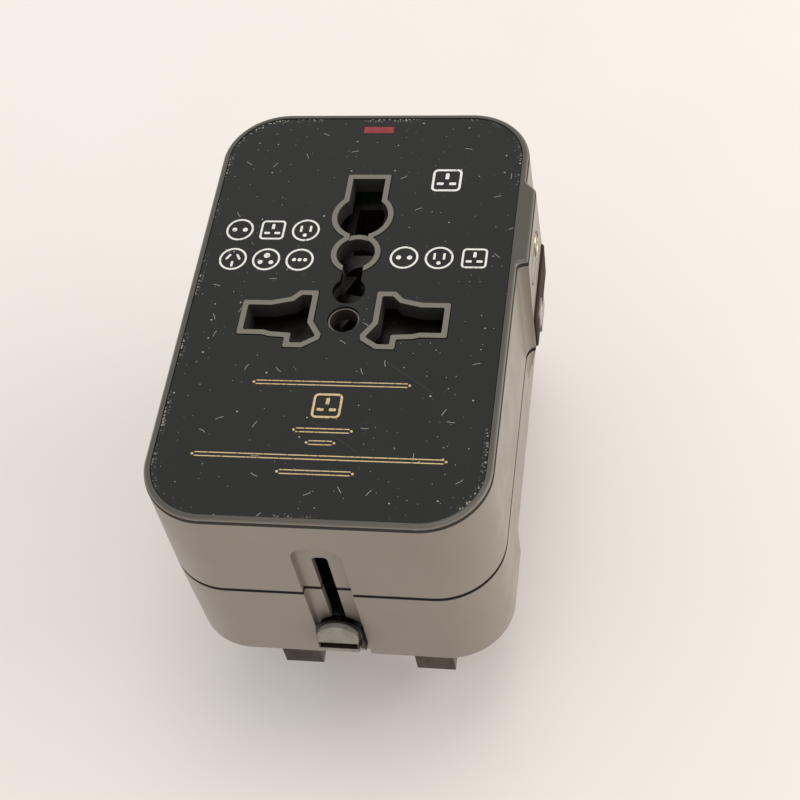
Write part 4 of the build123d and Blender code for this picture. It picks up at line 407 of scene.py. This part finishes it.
wiped = add(tree, "Mapping", {"Vector": place, "Scale": (1, 0.4, 1)})
smears = add(tree, "TexNoise", {"Vector": wiped, "Scale": 1 / (9 * MM), "Detail": 4})
smear = add(tree, "MapRange", {0: smears, 1: 0.45, 2: 0.75, 3: 0.08, 4: 0.24})
dull = add(tree, "Math", {0: loose, 1: 0.8}, operation="MULTIPLY")
shine = add(tree, "Math", {0: smear, 1: dull}, operation="MAXIMUM")
relief = add(tree, "Bump", {"Height": marked, "Distance": 0.004 * MM, "Strength": 0.3})
fill(tree, skin, {"Base Color": colour, "Roughness": shine, "Normal": relief})
wear(gloss_sheet, "face_panel")


# Lamp and its window: red acrylic. The window is a light pipe, polished flush with the panel.
# Fine ripples from moulding and a cloudy core break up its gloss.
red_acrylic, tree, skin, place = new_finish("red_acrylic_light_pipe", ior=1.49)
skin.inputs["Transmission Weight"].default_value = 0.15
core_cloud = add(tree, "TexNoise", {"Vector": place, "Scale": 1 / (1.8 * MM), "Detail": 3})
colour = add(tree, "Mix", {0: core_cloud, 6: linear("862830"), 7: linear("a83a3e")}, data_type="RGBA")
shine = add(tree, "MapRange", {0: core_cloud, 3: 0.14, 4: 0.28})
ripple = add(tree, "TexNoise", {"Vector": place, "Scale": 1 / (0.5 * MM)})
relief = add(tree, "Bump", {"Height": ripple, "Distance": 0.02 * MM, "Strength": 0.3})
fill(tree, skin, {"Base Color": colour, "Roughness": shine, "Normal": relief})
wear(red_acrylic, "lamp_lens", "lamp")


# White printed marks: screen-printed plug faces beside the socket, each sign in its own ring
# or softened square. The ink lies 0.03 mm thick on the panel and is a little worn.
INK_T, PLUG_R, STROKE = 0.03 * MM, 2.2, 0.32
ROUND, SQUARE = 40, 4


def ink_bar(x, y, width, height, turn=0.0):
    """The face of a bar of ink with round corners, centred on a place given in millimetres."""
    bpy.ops.mesh.primitive_plane_add(size=1, location=(x * MM, y * MM, PANEL_TOP), rotation=(0, 0, turn))
    bpy.context.object.scale = (width * MM, height * MM, 1)
    bpy.ops.object.transform_apply()
    bpy.ops.object.mode_set(mode="EDIT")
    bpy.ops.mesh.select_all(action="SELECT")
    bpy.ops.mesh.bevel(offset=0.3 * min(width, height) * MM, segments=3, affect="VERTICES")
    bpy.ops.object.mode_set(mode="OBJECT")
    return bpy.context.object


def ink_spot(x, y, radius):
    """The face of a round spot of ink."""
    bpy.ops.mesh.primitive_circle_add(vertices=28, radius=radius * MM, fill_type="NGON",
                                      location=(x * MM, y * MM, PANEL_TOP))
    bpy.ops.object.transform_apply()
    return bpy.context.object


def ink_outline(x, y, radius, stroke, corners):
    """The face of a closed line of ink: round with many corners, a softened square with four."""
    bpy.ops.mesh.primitive_circle_add(vertices=corners, radius=radius * MM, fill_type="NGON",
                                      location=(x * MM, y * MM, PANEL_TOP),
                                      rotation=(0, 0, math.pi / 4 if corners == SQUARE else 0))
    bpy.ops.object.transform_apply()
    bpy.ops.object.mode_set(mode="EDIT")
    bpy.ops.mesh.select_all(action="SELECT")
    if corners == SQUARE:
        bpy.ops.mesh.bevel(offset=0.25 * radius * MM, segments=5, affect="VERTICES")
        bpy.ops.mesh.select_all(action="SELECT")
    bpy.ops.mesh.inset(thickness=stroke * MM)
    bpy.ops.mesh.delete(type="FACE")
    bpy.ops.object.mode_set(mode="OBJECT")
    return bpy.context.object


def two_round(x, y):
    """Plug face with two round pins."""
    pins = [ink_spot(x + side * 0.85, y, 0.4) for side in (-1, 1)]
    return [ink_outline(x, y, PLUG_R, STROKE, ROUND)] + pins


def three_flat(x, y, size=1.0):
    """Plug face with one upright and two level flat pins, in a softened square."""
    return [
        ink_outline(x, y, 1.25 * PLUG_R * size, STROKE * size, SQUARE),
        ink_bar(x, y + 0.7 * size, 0.48 * size, 1.05 * size),
        ink_bar(x - 0.82 * size, y - 0.62 * size, 0.92 * size, 0.44 * size),
        ink_bar(x + 0.82 * size, y - 0.62 * size, 0.92 * size, 0.44 * size),
    ]


def two_upright(x, y):
    """Plug face with two upright blades over a round earth pin."""
    blades = [ink_bar(x + side * 0.75, y + 0.3, 0.36, 1.25) for side in (-1, 1)]
    return [ink_outline(x, y, PLUG_R, STROKE, ROUND), ink_spot(x, y - 1.0, 0.34)] + blades


def three_slanted(x, y):
    """Plug face with two slanted blades over an upright one."""
    slant = math.radians(30)
    blades = [ink_bar(x + side * 0.8, y + 0.42, 0.36, 1.2, side * slant) for side in (-1, 1)]
    return [ink_outline(x, y, PLUG_R, STROKE, ROUND), ink_bar(x, y - 1.0, 0.36, 1.05)] + blades


def three_round(x, y):
    """Plug face with three round pins, the earth pin larger."""
    pins = [ink_spot(x + side * 0.86, y - 0.58, 0.38) for side in (-1, 1)]
    return [ink_outline(x, y, PLUG_R, STROKE, ROUND), ink_spot(x, y + 0.78, 0.5)] + pins


def three_in_line(x, y):
    """Plug face with three small round pins in a row."""
    pins = [ink_spot(x + step * 0.88, y, 0.32) for step in (-1, 0, 1)]
    return [ink_outline(x, y, PLUG_R, STROKE, ROUND)] + pins


def one_print(name, marks, ink):
    """Join the marks of one ink, give them their thickness and leave them on the case."""
    bpy.ops.object.select_all(action="DESELECT")
    for mark in marks:
        mark.select_set(True)
    bpy.context.view_layer.objects.active = marks[0]
    bpy.ops.object.join()
    sheet = bpy.context.object
    sheet.name = name
    bpy.ops.object.modifier_add(type="SOLIDIFY")
    sheet.modifiers[0].thickness, sheet.modifiers[0].offset = INK_T, 1
    bpy.ops.object.modifier_apply(modifier=sheet.modifiers[0].name)
    sheet.data.materials.append(ink)
    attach(sheet, "case")


white_ink, tree, skin, place = new_finish("white_screen_print_ink")
thinning = add(tree, "TexNoise", {"Vector": place, "Scale": 1 / (0.5 * MM), "Detail": 4})
cover = add(tree, "MapRange", {0: thinning, 1: 0.3, 2: 0.42})
colour = add(tree, "Mix", {0: cover, 6: linear("8d8c84"), 7: linear("e9e7df")}, data_type="RGBA")
shine = add(tree, "MapRange", {0: cover, 3: 0.3, 4: 0.5})
screen = add(tree, "TexNoise", {"Vector": place, "Scale": 1 / (0.15 * MM)})
relief = add(tree, "Bump", {"Height": screen, "Distance": 0.01 * MM, "Strength": 0.2})
fill(tree, skin, {"Base Color": colour, "Roughness": shine, "Normal": relief})

white = []
for column, row, plug_face in (
    (-19.2, 13.9, two_round), (-13.9, 13.9, three_flat), (-8.6, 13.9, two_upright),
    (-19.2, 7.9, three_slanted), (-13.9, 7.9, three_round), (-8.6, 7.9, three_in_line),
    (7.6, 8.6, two_round), (13.0, 8.6, two_upright), (18.4, 8.6, three_flat),
):
    white += plug_face(column, row)
white += three_flat(12.4, 24.6, 1.2)
one_print("white_marks", white, white_ink)


# Gold printed marks: thin double rules and a boxed socket sign below the holes.
# The ink holds brass flake, so it is partly metallic, and it has worn thin in places.
RULE_T, RULE_GAP, RULE_SHORT, END_SPOT_R = 0.17, 0.62, 0.6, 0.2
gold_ink, tree, skin, place = new_finish("gold_flake_print_ink", metallic=0.35)
thinning = add(tree, "TexNoise", {"Vector": place, "Scale": 1 / (0.4 * MM), "Detail": 4})
cover = add(tree, "MapRange", {0: thinning, 1: 0.32, 2: 0.45})
colour = add(tree, "Mix", {0: cover, 6: linear("75623f"), 7: linear("d6bd8d")}, data_type="RGBA")
shine = add(tree, "MapRange", {0: cover, 3: 0.5, 4: 0.35})
flake = add(tree, "TexNoise", {"Vector": place, "Scale": 1 / (0.15 * MM)})
relief = add(tree, "Bump", {"Height": flake, "Distance": 0.01 * MM, "Strength": 0.3})
fill(tree, skin, {"Base Color": colour, "Roughness": shine, "Normal": relief})

gold = three_flat(0, -19.3, 1.1)
for row, half_width in ((-15.4, 11.5), (-23.6, 4.2), (-25.7, 2.0), (-28.2, 18.2), (-30.7, 5.4)):
    for side in (-1, 1):
        gold.append(ink_bar(0, row + side * RULE_GAP / 2, 2 * half_width - RULE_SHORT, RULE_T))
        gold.append(ink_spot(side * half_width, row, END_SPOT_R))
one_print("gold_marks", gold, gold_ink)


# Ring on the hump: a gilt wire pressed into the oval groove beside the American plug's knob.
# Its plating has rubbed through in places, so it glints unevenly.
hump_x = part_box("front_shell")[1][0]
OVAL_LONG, OVAL_HIGH, GROOVE_W, WIRE_R, WIRE_SUNK = 10.0, 4.4, 0.45, 0.2, 0.06
OVAL_AT = (hump_x - WIRE_SUNK * MM, 14.35 * MM, 31.6 * MM)
bpy.ops.mesh.primitive_circle_add(vertices=64, radius=(OVAL_HIGH - GROOVE_W) / 2 * MM, location=OVAL_AT,
                                  rotation=(0, math.pi / 2, 0))
bpy.ops.object.transform_apply()
hump_ring = bpy.context.object
hump_ring.name = "hump_ring"
for vertex in hump_ring.data.vertices:
    vertex.select = vertex.co.y > OVAL_AT[1]
bpy.ops.object.mode_set(mode="EDIT")
for way in (1, -1):
    bpy.ops.transform.translate(value=(0, way * (OVAL_LONG - OVAL_HIGH) / 2 * MM, 0))
    bpy.ops.mesh.select_all(action="INVERT")
bpy.ops.object.mode_set(mode="OBJECT")
bpy.ops.object.convert(target="CURVE")
hump_ring.data.bevel_depth = WIRE_R * MM
hump_ring.data.bevel_resolution = 3
bpy.ops.object.convert(target="MESH")
bpy.ops.object.shade_smooth()

gilt, tree, skin, place = new_finish("worn_gilt_wire", metallic=1.0)
bare = add(tree, "TexNoise", {"Vector": place, "Scale": 1 / (2.2 * MM), "Detail": 2})
plated = add(tree, "MapRange", {0: bare, 1: 0.42, 2: 0.58})
colour = add(tree, "Mix", {0: plated, 6: linear("6b5f47"), 7: linear("f2e0b4")}, data_type="RGBA")
shine = add(tree, "MapRange", {0: plated, 3: 0.4, 4: 0.16})
dents = add(tree, "TexNoise", {"Vector": place, "Scale": 1 / (0.3 * MM)})
relief = add(tree, "Bump", {"Height": dents, "Distance": 0.03 * MM, "Strength": 0.5})
fill(tree, skin, {"Base Color": colour, "Roughness": shine, "Normal": relief})
hump_ring.data.materials.append(gilt)
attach(hump_ring, "case")


# Table: a plain pale sheet of matt card just under the tip of the longest pin, with very faint
# fibres. It runs far enough to fill the view.
TABLE_SIZE, TABLE_GAP = 6.0, 0.02 * MM
table_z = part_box("uk_earth_pin")[0][2] - TABLE_GAP
bpy.ops.mesh.primitive_plane_add(size=TABLE_SIZE, location=(0, 0, table_z))
table = bpy.context.object
table.name = "table_top"
card, tree, skin, place = new_finish("pale_matt_card")
tint = add(tree, "TexNoise", {"Vector": place, "Scale": 1 / (90 * MM), "Detail": 3})
colour = add(tree, "Mix", {0: tint, 6: linear("f6f0ea"), 7: linear("efe9e2")}, data_type="RGBA")
fibre = add(tree, "TexNoise", {"Vector": place, "Scale": 1 / (0.6 * MM), "Detail": 2})
shine = add(tree, "MapRange", {0: fibre, 3: 0.85, 4: 0.95})
relief = add(tree, "Bump", {"Height": fibre, "Distance": 0.02 * MM, "Strength": 0.1})
fill(tree, skin, {"Base Color": colour, "Roughness": shine, "Normal": relief})
table.data.materials.append(card)


# Light: a bright white room on all sides, a soft lamp high up behind the object, out of the
# line in which the panel would mirror it, and a window low on the right.
world = bpy.context.scene.world or bpy.data.worlds.new("room")
bpy.context.scene.world = world
world.use_nodes = True
room_light = world.node_tree.nodes["Background"]
room_light.inputs["Color"].default_value = linear("ffffff")
room_light.inputs["Strength"].default_value = 0.75

for name, at, size, power in (
    ("lamp_above", (0.1, 0.2, 1.15), 0.5, 2.6),
    ("window_right", (0.95, 0.1, 0.5), 0.8, 4.0),
):
    bpy.ops.object.light_add(type="AREA", location=at)
    soft_lamp = bpy.context.object
    soft_lamp.name = name
    soft_lamp.data.size, soft_lamp.data.energy = size, power
    soft_lamp.data.color = linear("fffaf4")[:3]
    soft_lamp.rotation_euler = (-Vector(at)).to_track_quat("-Z", "Y").to_euler()

# Camera: where the photograph was taken from, with the lens and shift that bring the case's
# corners to the same places in the picture.
EYE = Vector((51.386, -146.755, 219.745)) * MM
FORWARD = Vector((-0.17538, 0.57055, -0.80232))
DOWN = Vector((0.02758, -0.81178, -0.58331))
RIGHT = Vector((0.98411, 0.12443, -0.12663))
FOCAL, SENSOR, SHIFT_X, SHIFT_Y = 71.74, 36, -0.01125, -0.0024
bpy.ops.object.camera_add()
eye = bpy.context.object
eye.name = "photo_camera"
eye.matrix_world = Matrix.Translation(EYE) @ Matrix((RIGHT, -DOWN, -FORWARD)).transposed().to_4x4()
eye.data.lens, eye.data.sensor_width, eye.data.sensor_fit = FOCAL, SENSOR, "AUTO"
eye.data.shift_x, eye.data.shift_y = SHIFT_X, SHIFT_Y
eye.data.clip_start = 0.01
bpy.context.scene.camera = eye
bpy.context.scene.view_settings.view_transform = "Standard"
